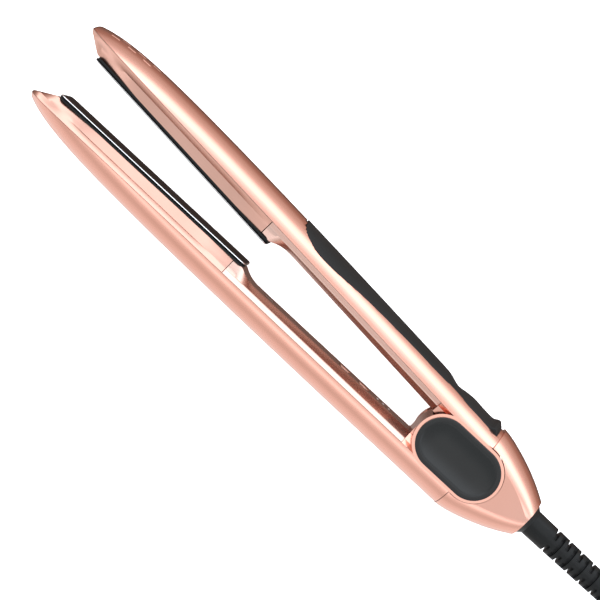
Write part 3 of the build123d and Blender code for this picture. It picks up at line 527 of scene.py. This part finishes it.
@dataclass
class Arm:
    """One arm of the iron: back shell, plate carrier, handle liner and what closes them."""

    side: Side
    pad: Optional["GripPad"] = None
    wall: float = 2.2
    crease_tip: float = 9.5
    crease_rear: float = 11.4
    band_tip: float = 7.2
    band_rear: float = 9.6
    band_inset: float = 1.4
    side_inset: float = 2.1
    carrier_top: float = 3.3
    liner_face: float = 6.1
    nose_top: float = 8.3
    nose_run: float = 10.3
    nose_close: float = 1.6
    heel_run: float = 10.7
    seam_gap: float = 0.16
    narrows: tuple[float, float] = (7.4, 4.3)
    falls: tuple[tuple[float, float], ...] = ((4.6, 13.0), (5.6, 62.0))
    tip_share: float = 0.45
    thin_share: float = 0.6
    ledge: float = 0.5
    ledge_lip: float = 0.3
    ledge_front: tuple[float, float] = (8.0, 22.0)
    ledge_rear: tuple[float, float] = (1.0, 14.0)
    side_shares: tuple[float, ...] = (0.4, 0.8, 0.95, 1.0)
    slope_power: float = 1.15
    handle_slope: float = 4.0
    handle_start: float = 2.0
    nose_slope: float = 2.0
    nose_fade: tuple[float, float] = (8.0, 36.0)
    seam_slope: float = 1.5
    seam_fade: float = 20.0
    vent_size: tuple[float, float] = (4.2, 0.75)
    vent_pitch: float = 8.4
    vent_rows: tuple[tuple[float, float], ...] = ((4.2, 14.4), (7.2, 10.0))
    vents_per_row: int = 3
    vent_reach: tuple[float, float] = (12.0, 23.9)
    notch_radius: float = 13.3
    notch_reach: tuple[float, float] = (11.6, 20.0)
    hole_depth: float = 30.0
    button_hole: float = 3.7
    button_places: tuple[float, ...] = (-58.0, -69.0)
    light_hole: float = 0.6
    light_places: tuple[float, ...] = (-43.4, -46.7, -50.0)

    @property
    def body(self) -> Body:
        """The body this arm's pieces ride on."""
        return Body.LOWER if self.side is Side.FIXED else Body.UPPER

    @property
    def plate_body(self) -> Body:
        """The body this arm's heated plate rides on."""
        return Body.LOWER_PLATE if self.side is Side.FIXED else Body.UPPER_PLATE

    def pose(self, points: np.ndarray) -> np.ndarray:
        """Places fixed-arm points on this arm."""
        return points if self.side is Side.FIXED else on_moving_arm(points)

    @staticmethod
    def _line(at_tip: float, at_rear: float, x: np.ndarray) -> np.ndarray:
        """Depth on a straight line between the tip and the rear end."""
        return at_tip + (x - TIP_X) / (REAR_X - TIP_X) * (at_rear - at_tip)

    def crease(self, x: np.ndarray) -> np.ndarray:
        """Depth of the line between shell and inner pieces."""
        return self._line(self.crease_tip, self.crease_rear, x)

    def half(self, x: np.ndarray) -> np.ndarray:
        """Half width: it narrows to the tip by an exponential."""
        most, over = self.narrows
        return HALF_WIDTH - most * np.exp((TIP_X - x) / over)

    def closed_half(self, x: np.ndarray, shut: np.ndarray) -> np.ndarray:
        """Half width with the rounded nose closing it."""
        return self.half(x) * (self.tip_share + (1 - self.tip_share) * shut)

    def back(self, x: np.ndarray) -> np.ndarray:
        """Depth of the back: full depth less a fast and a slow exponential at the tip."""
        return BACK_DEPTH - sum(most * np.exp((TIP_X - x) / over) for most, over in self.falls)

    def closing(self, x: np.ndarray) -> np.ndarray:
        """Quarter circle from 0 at the tip to 1 behind it, which rounds the nose."""
        t = np.clip((x - TIP_X) / self.nose_close, 0, 1)
        return np.sqrt(np.clip(1 - (1 - t) ** 2, 0.02, 1))

    def stations(self, start: float, end: float, count: int) -> np.ndarray:
        """Places along the arm, close together near the tip."""
        if start > TIP_X + 1:
            return np.linspace(start, end, count)
        near = TIP_X + self.nose_close * (1 - np.cos(np.linspace(0, np.pi / 2, 9)))
        return np.concatenate([near[:-1], TIP_X + np.geomspace(self.nose_close, end - TIP_X, count)])

    @staticmethod
    def circle(
        half: np.ndarray, rim: np.ndarray, back: np.ndarray
    ) -> tuple[np.ndarray, np.ndarray, np.ndarray]:
        """The circle through both rims and the back of each section.

        Its radius is the sum of the squares of half width and rise, over twice the rise.

        Returns:
            Radius, depth of the centre and the angle from the back to a rim.
        """
        rise = back - rim
        radius = (half**2 + rise**2) / (2 * rise)
        return radius, back - radius, np.arccos(np.clip((radius - rise) / radius, -1, 1))

    def shell_loops(self, x: np.ndarray, points: int = 65) -> np.ndarray:
        """Closed sections of the back: the outer arc, then the inner arc the other way.

        Where the grip pad lies, the outer arc is sunk, a little inside the pad's edge.
        """
        shut = self.closing(x)
        rim = self.crease(x) + self.seam_gap / 2
        half, back = self.closed_half(x, shut), rim + (self.back(x) - rim) * shut
        radius, centre, most = (a[:, None] for a in self.circle(half, rim, back))
        turn = most * np.linspace(-1, 1, points)[None, :]
        outer = radius + 0 * turn
        if self.pad is not None:
            outer = outer - self.pad.bed(x, turn, radius, centre)
        inner_half = half - np.minimum(self.wall, self.thin_share * half)
        inner_back = back - np.minimum(self.wall, self.thin_share * (back - rim))
        inner, inner_centre, inner_most = (a[:, None] for a in self.circle(inner_half, rim, inner_back))
        inner_turn = inner_most * np.linspace(1, -1, points)[None, :]
        inner_depth = inner_centre + inner * np.cos(inner_turn)
        depth = np.concatenate([centre + outer * np.cos(turn), inner_depth], axis=1)
        z = np.concatenate([outer * np.sin(turn), inner * np.sin(inner_turn)], axis=1)
        return self.pose(np.stack([np.broadcast_to(x[:, None], z.shape), -depth, z], axis=-1))

    def rail_loops(self, x: np.ndarray, top: Callable[[np.ndarray], np.ndarray]) -> np.ndarray:
        """Closed sections of an inner piece: crease, leaning band, lip, side and flat face.

        The side stands a ledge inside the band beside the plate. It slopes in more near
        the nose and the seam, and most in the handle, as the face falls away.
        """
        shut = self.closing(x)
        low = self.crease(x) - self.seam_gap / 2
        face = low - (low - top(x)) * shut
        band = np.maximum(self._line(self.band_tip, self.band_rear, x), face + 0.25 * (low - face))
        half = self.closed_half(x, shut)
        front, rear, fade = self.ledge_front, self.ledge_rear, self.nose_fade
        ledge = self.ledge * smooth((x - TIP_X - front[0]) / front[1])
        ledge = ledge * smooth((SEAM_X - rear[0] - x) / rear[1])
        handle = smooth((x - SEAM_X - self.handle_start) / (HEEL_HOLD + self.heel_run))
        sloped = self.seam_slope * smooth((x - SEAM_X + self.seam_fade) / self.seam_fade)
        sloped = sloped + (self.handle_slope - self.seam_slope) * handle
        sloped = sloped + self.nose_slope * shut * (1 - smooth((x - TIP_X - fade[0]) / fade[1]))
        lip = band - np.minimum(self.ledge_lip, 0.3 * (band - face)) * np.minimum(shut, 1)
        insets = [0 * x, shut * self.band_inset, shut * self.band_inset + ledge]
        depths = [low, band, lip]
        for share in self.side_shares:
            depths.append(lip + share * (face - lip))
            insets.append(shut * self.band_inset + ledge + shut * (self.side_inset - self.band_inset) * share
                          + sloped * share**self.slope_power)
        depth = np.stack(depths, axis=1)
        z = half[:, None] - np.stack(insets, axis=1)
        depth = np.concatenate([depth, depth[:, ::-1]], axis=1)
        z = np.concatenate([z, -z[:, ::-1]], axis=1)
        return self.pose(np.stack([np.broadcast_to(x[:, None], z.shape), -depth, z], axis=-1))

    def nose_face(self, x: np.ndarray) -> np.ndarray:
        """Depth of the carrier's face: a slant in front of the plate, then level."""
        along = (x - TIP_X - 1.0) / (self.nose_run - 1.0)
        slant = self.nose_top - along * (self.nose_top - self.carrier_top)
        return np.maximum(np.minimum(slant, self.nose_top), self.carrier_top)

    def liner_depth(self, x: np.ndarray) -> np.ndarray:
        """Depth of the handle's inner face: level, then a dip that flattens out."""
        t = np.clip((x - SEAM_X - HEEL_HOLD) / self.heel_run, 0, 1)
        return self.carrier_top + (self.liner_face - self.carrier_top) * (1 - (1 - t) ** 2.6)

    def shell_places(self) -> np.ndarray:
        """Stations of the shell: close at the tip, then even."""
        near = self.stations(TIP_X, TIP_X + 40.0, 26)
        return np.concatenate([near, np.linspace(TIP_X + 40.0, REAR_X - 0.25, 150)[1:]])

    def build(self) -> None:
        """Builds and dresses the arm's own pieces."""
        name = self.side.value
        shell = swept(f"{name}_back", self.shell_loops(self.shell_places()))
        self.open_vents(shell)
        self.trim_rear(shell)
        soften(shell)
        finish_piece(shell, self.body, ROSE_GOLD, "rose_gold", f"{name}_shell")
        carrier_x = self.stations(TIP_X, SEAM_X - 0.15, 48)
        carrier = swept(f"{name}_carrier", self.rail_loops(carrier_x, self.nose_face))
        soften(carrier)
        finish_piece(carrier, self.body, ROSE_GOLD_SATIN_SHADED, "rose_gold", f"{name}_plate_carrier")
        liner_x = np.linspace(SEAM_X + 0.15, HINGE_SEAM_X - 0.15, 90)
        liner = swept(f"{name}_liner", self.rail_loops(liner_x, self.liner_depth), sharp=28.0)
        self.open_liner(liner)
        soften(liner)
        finish_piece(liner, self.body, HANDLE_ROSE, "rose_gold", f"{name}_handle_liner")

    def open_vents(self, shell: bpy.types.Object) -> None:
        """Cuts the rows of vent slots through the back near the tip."""
        half_length, half_width = self.vent_size[0] / 2, self.vent_size[1] / 2
        corners = ((-1, -1), (1, -1), (1, 1), (-1, 1))
        tools = []
        for offset, first in self.vent_rows:
            for n in range(self.vents_per_row):
                x = TIP_X + first + n * self.vent_pitch
                for z in (offset, -offset):
                    ends = [self.pose(np.array([(x + a * half_length, -depth, z + b * half_width)
                                                for a, b in corners])) for depth in self.vent_reach]
                    tools.append(swept("vent", np.stack(ends)))
        bpy.ops.object.select_all(action="DESELECT")
        for tool in tools:
            tool.select_set(True)
        bpy.context.view_layer.objects.active = tools[0]
        bpy.ops.object.join()
        cut(shell, [tools[0]])

    def trim_rear(self, shell: bpy.types.Object) -> None:
        """Clears the hinge's round surround from the moving arm's back."""
        if self.side is Side.MOVING:
            near, far = self.notch_reach
            cut(shell, [rod("notch", self.notch_radius, (0, 0, side * near), (0, 0, side * far), 96)
                        for side in (1, -1)])

    def open_liner(self, liner: bpy.types.Object) -> None:
        """Cuts the holes for the buttons and the status lights."""
        if self.side is Side.FIXED:
            kinds = ((self.button_hole, self.button_places, 48), (self.light_hole, self.light_places, 16))
            cut(liner, [rod("hole", radius, (x, 0, 0), (x, -self.hole_depth, 0), sides)
                        for radius, places, sides in kinds for x in places], 28.0)


@dataclass
class GripPad:
    """Soft pad over the back of the moving arm, from the handle to the hinge."""

    front: float = -126.0
    rear: float = -4.15
    proud: float = 0.35
    sunk: float = 0.5
    thick: float = 2.0
    roll: float = 0.7
    sink: float = 1.75
    hem: float = 0.6
    hem_run: float = 0.8
    end_run: float = 6.0
    edge_x: tuple[float, ...] = (-127.5, -123.6, -117.0, -112.6, -106.5, -83.5, -40.4, -4.0)
    edge_depth: tuple[float, ...] = (22.9, 18.5, 15.9, 15.15, 15.1, 17.1, 18.4, 18.3)
    # Middle, width and height of each swell or hollow along the pad's middle.
    swells: tuple[tuple[float, float, float], ...] = (
        (-30.0, 4.6, -1.45), (-24.0, 2.5, -0.15), (-15.0, 4.0, -0.2), (-6.9, 1.7, 1.6),
    )

    def reach(self, x: np.ndarray, radius: np.ndarray, centre: np.ndarray) -> np.ndarray:
        """Angle from the back to the pad's edge: where the section's circle has the edge's depth."""
        depth = through(self.edge_x, self.edge_depth, x)
        angle = np.arccos(np.clip((depth - centre) / radius, -1, 1))
        return np.where(x < self.front, 0.0, angle)

    def margin(self, x: np.ndarray, turn: np.ndarray, radius: np.ndarray, centre: np.ndarray) -> np.ndarray:
        """Distance from points of the sections to the pad's edge or rear end, negative outside."""
        aside = radius * (self.reach(x, radius[:, 0], centre[:, 0])[:, None] - np.abs(turn))
        return np.minimum(aside, (self.rear - x)[:, None])

    def bed(self, x: np.ndarray, turn: np.ndarray, radius: np.ndarray, centre: np.ndarray) -> np.ndarray:
        """How deep the arm's back is sunk under the pad, a hem inside its edge."""
        return self.sink * smooth((self.margin(x, turn, radius, centre) - self.hem) / self.hem_run)

    def relief(self, x: np.ndarray) -> np.ndarray:
        """Height of the pad's middle over the arm: the sum of its bell-shaped swells."""
        return sum(height * np.exp(-(((x - middle) / width) ** 2)) for middle, width, height in self.swells)

    def build(self, arm: Arm) -> None:
        """A thick sheet between two angles of each section, with rolled edges.

        Towards an edge the surface falls by a quarter circle from proud to sunk.
        """
        near = self.front + self.end_run * (1 - np.cos(np.linspace(0.05, np.pi / 2, 14)))
        middle = np.linspace(near[-1], self.rear - self.end_run, 110)[1:]
        late = self.rear - self.end_run * (1 - np.sin(np.linspace(0, np.pi / 2, 16)))[1:]
        x = np.concatenate([near, middle, late])
        radius, centre, _ = (a[:, None] for a in arm.circle(arm.half(x), arm.crease(x), arm.back(x)))
        most = np.maximum(self.reach(x, radius[:, 0], centre[:, 0]), 0.004)[:, None]
        turn = most * np.sin(np.linspace(-np.pi / 2, np.pi / 2, 61))[None, :]
        edge = np.clip(self.margin(x, turn, radius, centre) / self.roll, 0, 1)
        lift = (self.proud + self.sunk) * np.sqrt(np.clip(1 - (1 - edge) ** 2, 0, 1)) - self.sunk
        lift = lift + self.relief(x)[:, None] * np.cos(turn * 0.9) * edge
        loops = []
        for r, t in ((radius + lift, turn), (radius - self.thick + 0 * turn, turn[:, ::-1])):
            along = np.broadcast_to(x[:, None], t.shape)
            loops.append(np.stack([along, -(centre + r * np.cos(t)), r * np.sin(t)], axis=-1))
        pad = swept("soft_grip_pad", arm.pose(np.concatenate(loops, axis=1)), sharp=50.0)
        finish_piece(pad, Body.UPPER, GRIP, "soft_grip", "grip_pad")


@dataclass
class HeatedPlate:
    """Coated plate with a bare, bevelled edge."""

    arm: Arm
    width: float = 25.0
    corner: float = 3.0
    face: float = 1.25
    thick: float = 1.2
    bevel: float = 0.42
    per_corner: int = 13

    def outline(self, inset: float) -> np.ndarray:
        """Rounded rectangle at an inset: quarter circles about the corner centres, in x and z."""
        quarter = np.linspace(0, np.pi / 2, self.per_corner)
        turn = np.concatenate([quarter + k * np.pi / 2 for k in range(4)])
        reach_x, reach_z = PLATE_LENGTH / 2 - self.corner, self.width / 2 - self.corner
        sign_x = np.repeat([1, -1, -1, 1], self.per_corner)
        sign_z = np.repeat([1, 1, -1, -1], self.per_corner)
        radius = self.corner - inset
        x = TIP_X + PLATE_FROM_TIP + PLATE_LENGTH / 2 + sign_x * reach_x + radius * np.cos(turn)
        return np.stack([x, sign_z * reach_z + radius * np.sin(turn)], -1)

    def build(self) -> None:
        """Outlines carried up the side, over the bevel and in across the face."""
        back = self.face + self.thick
        face, bevel = self.face, self.bevel
        rings = ((1.5, back), (0.06, back), (0.0, back - 0.08), (0.0, face + bevel),
                 (bevel * 0.12, face + bevel * 0.7), (bevel * 0.75, face + bevel * 0.1), (bevel, face),
                 (bevel + 0.6, face), (2.0, face), (2.9, face))
        loops = []
        for inset, depth in rings:
            plan = self.outline(inset)
            loops.append(np.column_stack([plan[:, 0], np.full(len(plan), -depth), plan[:, 1]]))
        around = len(loops[0])
        plate = swept(f"{self.arm.side.value}_hot_plate", self.arm.pose(np.stack(loops)), sharp=50.0)
        finish_piece(plate, self.arm.plate_body, PLATE_BLACK, "plate_coating", f"{self.arm.side.value}_plate")
        plate.data.materials.append(PAINT.of(PLATE_EDGE))
        bare = np.zeros(len(plate.data.polygons), np.int32)
        bare[3 * around:6 * around] = 1
        plate.data.polygons.foreach_set("material_index", bare)


# ---------------------------------------------------------------- hinge covers


@dataclass
class HingeCover:
    """Oval cap over the pin: a flat rim that steps into a shallow dish."""

    node: str
    up: float
    radius: float = 11.6
    span: float = 18.0
    rim: float = 1.9
    edge: float = 0.45
    step: float = 0.3
    step_run: float = 0.9
    dish: float = 0.75
    flat: float = 1.5

    def build(self) -> None:
        """Rings of the oval carried inwards along the cover's profile.

        The outline at an inset is two half circles with their centres a span apart. The
        profile is a rounded edge, a level rim, a rounded step and a bowl that deepens as
        one less the square of the distance from the middle line.
        """
        corner = np.linspace(0, np.pi / 2, 7)
        down, bowl = np.linspace(0, 1, 8)[1:], np.linspace(0, 1, 16)[1:]
        foot = self.rim + self.step_run
        inset = np.concatenate([
            [0.0], self.edge * (1 - np.cos(corner)), [self.rim], self.rim + self.step_run * down,
            foot + (self.radius - foot - self.flat) * bowl])
        height = np.concatenate([
            [SURROUND_FACE], COVER_FACE - self.edge * (1 - np.sin(corner)), [COVER_FACE],
            COVER_FACE - self.step * smooth(down), COVER_FACE - self.step - self.dish * (1 - (1 - bowl) ** 2)])
        turn = np.linspace(-np.pi / 2, np.pi / 2, 49)
        radius = (self.radius - inset)[:, None]
        right = np.stack([radius * np.cos(turn), radius * np.sin(turn)], axis=-1)
        left = np.stack([-self.span - radius * np.cos(turn), -radius * np.sin(turn)], axis=-1)
        ring = np.concatenate([right, left], axis=1)
        z = np.broadcast_to(height[:, None, None], (*ring.shape[:2], 1)) * self.up
        cover = swept(f"{self.node}_cap", np.concatenate([ring, z], axis=-1), sharp=60.0)
        finish_piece(cover, Body.LOWER, COVER_BLACK, "hinge_cover_plastic", self.node)


# ---------------------------------------------------------------- cord


@dataclass
class Cord:
    """Mains lead: out of the boot, down to the table, folded in a tied hank, then the plug."""

    radius: float = 3.0
    start_x: float = 91.3
    floor: float = -COVER_FACE
    hank_start: float = 156.0
    loop: float = 27.2
    run: float = 92.0
    hank_y: float = 4.0
    waist_offset: float = 9.0
    layer: float = 6.05
    lift: float = 1.25
    outer: float = 24.1
    pitch: float = 6.1
    plug_x: float = 346.4
    plug_z: float = 6.85 - COVER_FACE

    # Where the turns change: (turn and share at start, at end, ring change, layer change).
    changes: tuple[tuple[float, float, float, float], ...] = (
        (0.68, 0.90, 1, 0), (1.44, 1.66, 0, 1), (2.20, 2.42, -1, 0), (2.96, 3.18, 0, 1),
        (3.72, 3.94, 1, 0), (4.48, 4.70, 0, 1), (5.24, 5.46, -1, 0),
    )
    turns: float = 6.25

    def lay(self) -> np.ndarray:
        """Control points of the whole lead, millimetres about the hinge axis.

        Each turn of the hank has four stretches: a run towards the plug, the far loop, a
        run back and the near loop. The ring number slides from 0, outer, to 1, inner, and
        the layer number rises, only within the changes, so turns lie beside and on each
        other. A run's distance from the middle line eases by a cosine from the loop's
        radius to the waist under the tie.
        """
        near, far = self.hank_start + self.loop, self.hank_start + self.loop + self.run
        middle, reach = (near + far) / 2, self.run / 2
        spacing = math.radians(30)
        swell = 1 / math.cos(spacing / 2)
        points = []
        shares = np.concatenate([start + np.linspace(0, 0.25, count, endpoint=False)
                                 for start, count in ((0.0, 4), (0.25, 6), (0.5, 4), (0.75, 6))])
        places = np.concatenate([turn + shares for turn in range(int(self.turns) + 1)])
        for place in places[places < self.turns]:
            ring = layer = 0.0
            for begin, end, sideways, upwards in self.changes:
                t = min(max((place - begin) / (end - begin), 0.0), 1.0)
                ring += sideways * t
                layer += upwards * t
            share = place % 1.0
            radius, waist = self.outer - self.pitch * ring, self.waist_offset - self.pitch * ring
            z = self.floor + self.radius + self.layer * layer
            quarter, t = int(share * 4), (share * 4) % 1.0
            if quarter in (0, 2):
                x = near + self.run * (t if quarter == 0 else 1 - t)
                ease = 0.5 - 0.5 * math.cos(math.pi * min(abs(x - middle) / reach, 1))
                y = waist + (radius - waist) * ease
                z += self.lift * (1 - ease)
                points.append((x, self.hank_y + (-y if quarter == 0 else y), z))
            else:
                turn = math.pi * t - math.pi / 2
                wide = radius * (swell if 0 < t < 1 else 1.0)
                centre, flip = (far, 1) if quarter == 1 else (near, -1)
                across, aside = flip * wide * math.cos(turn), flip * wide * math.sin(turn)
                points.append((centre + across, self.hank_y + aside, z))
        floor_z = self.floor + self.radius
        lead = [(self.start_x, 0.0, 0.0), (self.start_x + 17, 0.0, 0.0), (self.start_x + 34.5, -2.5, -8.0),
                (self.start_x + 53, -8.0, floor_z), (self.hank_start + 8, -14.5, floor_z),
                (self.hank_start + 18, -19.0, floor_z)]
        top = points[-1][2]
        tail = [(far + 9.2, -19.5, top + 0.3), (far + 20, -14.5, top + 0.3), (far + 29.0, -8.0, top - 1.0),
                (far + 38.0, -2.0, top - 8.0), (far + 48.0, 1.5, self.plug_z + 1.0),
                (far + 59.7, 4.0, self.plug_z), (self.plug_x, 4.0, self.plug_z)]
        return np.array(lead + points + tail)

    def build(self) -> None:
        """The lead as one NURBS curve on the fixed arm, in place of the CAD tube, hank and tail."""
        route = to_row(self.lay())
        curve = bpy.data.curves.new("mains_cord", "CURVE")
        curve.dimensions, curve.bevel_depth, curve.bevel_resolution = "3D", self.radius * MM, 5
        curve.resolution_u = 10
        spline = curve.splines.new("NURBS")
        spline.points.add(len(route) - 1)
        spline.points.foreach_set("co", np.column_stack([route, np.ones(len(route))]).ravel())
        spline.order_u = 3
        spline.use_endpoint_u = True
        cord = bpy.data.objects.new("mains_cord", curve)
        bpy.context.scene.collection.objects.link(cord)
        curve.materials.append(PAINT.of(CORD_BLACK))
        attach(cord, Body.LOWER.value)
        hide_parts("cord_tube", "cord_hank", "cord_tail")

    @staticmethod
    def measure(route: np.ndarray) -> float:
        """Length of the quadratic spline of a control polygon.

        Between the middles of two sides the curve is a parabola with the shared corner as
        its handle; each is measured as chords between nine points.
        """
        middles = (route[1:] + route[:-1]) / 2
        start, corner, end = middles[:-1], route[1:-1], middles[1:]
        t = np.linspace(0, 1, 9)[:, None, None]
        curve = (1 - t) ** 2 * start + 2 * t * (1 - t) * corner + t**2 * end
        inner = float(np.linalg.norm(np.diff(curve, axis=0), axis=2).sum())
        ends = np.linalg.norm(middles[0] - route[0]) + np.linalg.norm(route[-1] - middles[-1])
        return inner + float(ends)


# ---------------------------------------------------------------- studio


@dataclass
class Studio:
    """Camera, soft lights and the pale floor."""

    look_at: tuple[float, float, float] = (-103.4, 2.4, 0.0)
    distance: float = 790.0
    tilt: float = 4.9
    yaw: float = 0.0
    roll: float = 43.0
    seen: float = 258.0
    floor_half: float = 6000.0
    floor_gap: float = 0.05
    # Degrees from overhead, towards the moving arm's side, and the colour there.
    tent: tuple[tuple[float, Colour], ...] = (
        (-180, (0.22, 0.155, 0.13)), (-158, (0.92, 0.90, 0.89)), (-135, (1.12, 1.10, 1.10)),
        (-112, (1.08, 1.07, 1.07)), (-85, (0.84, 0.83, 0.82)), (-70, (1.05, 1.06, 1.07)),
        (-60, (1.8, 1.9, 2.0)), (-48, (1.05, 1.09, 1.12)), (-18, (0.88, 0.97, 1.01)), (2, (1.0, 1.04, 1.07)),
        (15, (1.9, 2.05, 2.2)), (26, (1.8, 1.95, 2.1)), (40, (1.05, 1.1, 1.15)), (52, (1.7, 1.85, 2.0)),
        (63, (2.8, 3.0, 3.2)), (74, (2.4, 2.6, 2.75)), (90, (1.02, 1.03, 1.05)), (108, (0.76, 0.68, 0.65)),
        (132, (0.44, 0.29, 0.24)), (160, (0.19, 0.13, 0.11)), (180, (0.15, 0.10, 0.085)),
    )

    def camera(self) -> None:
        """A long lens over the iron, rolled so that the iron lies across the corners."""
        tilt, yaw, roll = math.radians(self.tilt), math.radians(self.yaw), math.radians(self.roll)
        back = Vector((math.sin(yaw), math.sin(tilt), math.cos(tilt))).normalized()
        right = Vector((math.cos(roll), math.sin(roll), 0))
        right = (right - back * right.dot(back)).normalized()
        up = back.cross(right)
        data = bpy.data.cameras.new("camera")
        data.sensor_width = 36.0
        data.lens = 36.0 * self.distance / self.seen
        data.clip_start, data.clip_end = 0.01, 20.0
        camera = bpy.data.objects.new("camera", data)
        place = Vector(to_row(np.array(self.look_at))) + back * self.distance * MM
        camera.matrix_world = Matrix.Translation(place) @ Matrix((right, up, back)).transposed().to_4x4()
        bpy.context.scene.collection.objects.link(camera)
        bpy.context.scene.camera = camera

    def floor(self) -> None:
        """A wide level sheet of white paper."""
        half, z = self.floor_half, -COVER_FACE - self.floor_gap
        points = np.array([(-half, -half, z), (half, -half, z), (half, half, z), (-half, half, z)])
        mesh = bpy.data.meshes.new("floor")
        mesh.from_pydata(to_row(points).tolist(), [], [(0, 1, 2, 3)])
        floor = bpy.data.objects.new("floor", mesh)
        bpy.context.scene.collection.objects.link(floor)
        graph = Graph("floor paper")
        share = graph.noise(graph.place(), 3.0, 2.0)
        graph.set(Base_Color=graph.mix(share, (0.92, 0.92, 0.92, 1), (0.95, 0.95, 0.95, 1)), Roughness=0.9,
                  Emission_Color=(1, 1, 1, 1), Emission_Strength=0.9)
        mesh.materials.append(graph.material)
        floor.visible_glossy = floor.visible_diffuse = False

    def light(self, name: str, place: Sequence[float], size: float, power: float) -> None:
        """A square soft box at a place about the hinge, facing the iron's middle."""
        data = bpy.data.lights.new(name, "AREA")
        data.shape, data.size, data.energy = "SQUARE", size * MM, power
        lamp = bpy.data.objects.new(name, data)
        start, target = Vector(to_row(np.array(place))), Vector(to_row(np.array(self.look_at)))
        facing = (target - start).to_track_quat("-Z", "Y").to_matrix().to_4x4()
        lamp.matrix_world = Matrix.Translation(start) @ facing
        bpy.context.scene.collection.objects.link(lamp)

    def world(self) -> None:
        """A light tent: brightness by the angle about the iron's long axis.

        The angle runs from straight down past the fixed arm's side, overhead, past the
        moving arm's side and down again; a ramp gives each direction its grey.
        """
        world = bpy.data.worlds.new("studio")
        world.use_nodes = True
        tree = world.node_tree
        coords = tree.nodes.new("ShaderNodeTexCoord")
        parts = tree.nodes.new("ShaderNodeSeparateXYZ")
        angle = tree.nodes.new("ShaderNodeMath")
        share = tree.nodes.new("ShaderNodeMapRange")
        ramp = tree.nodes.new("ShaderNodeValToRGB")
        angle.operation = "ARCTAN2"
        share.inputs["From Min"].default_value, share.inputs["From Max"].default_value = -math.pi, math.pi
        ramp.color_ramp.interpolation = "EASE"
        elements = ramp.color_ramp.elements
        while len(elements) < len(self.tent):
            elements.new(0.5)
        for element, (degrees, colour) in zip(elements, self.tent):
            element.position, element.color = (degrees + 180) / 360, (*colour, 1)
        tree.links.new(coords.outputs["Generated"], parts.inputs[0])
        tree.links.new(parts.outputs["Y"], angle.inputs[0])
        tree.links.new(parts.outputs["Z"], angle.inputs[1])
        tree.links.new(angle.outputs[0], share.inputs["Value"])
        tree.links.new(share.outputs[0], ramp.inputs[0])
        background = tree.nodes["Background"]
        tree.links.new(ramp.outputs[0], background.inputs["Color"])
        background.inputs["Strength"].default_value = 1.0
        bpy.context.scene.world = world

    def build(self) -> None:
        """Camera, floor and lights."""
        bpy.context.scene.view_settings.view_transform = "Standard"
        self.camera()
        self.floor()
        self.light("overhead", (-60, 150, 900), 700.0, 0.6)
        self.light("from_the_tips", (-900, 300, 500), 500.0, 0.5)
        self.world()


def dress_nodes() -> None:
    """Gives every carried-over CAD node its finish."""
    for name, node in frame["nodes"].items():
        node.data.materials.clear()
        node.data.materials.append(PAINT.of(NODE_FINISHES[name]))


def main() -> None:
    """Builds everything in order."""
    Studio().build()
    Cord().build()
    dress_nodes()
    pad = GripPad()
    moving = Arm(Side.MOVING, pad)
    for part in (Arm(Side.FIXED), moving):
        part.build()
        HeatedPlate(part).build()
    pad.build(moving)
    for node, up in (("hinge_cover_upper_side", 1.0), ("hinge_cover_lower_side", -1.0)):
        HingeCover(node, up).build()


if __name__ == "__main__":
    main()
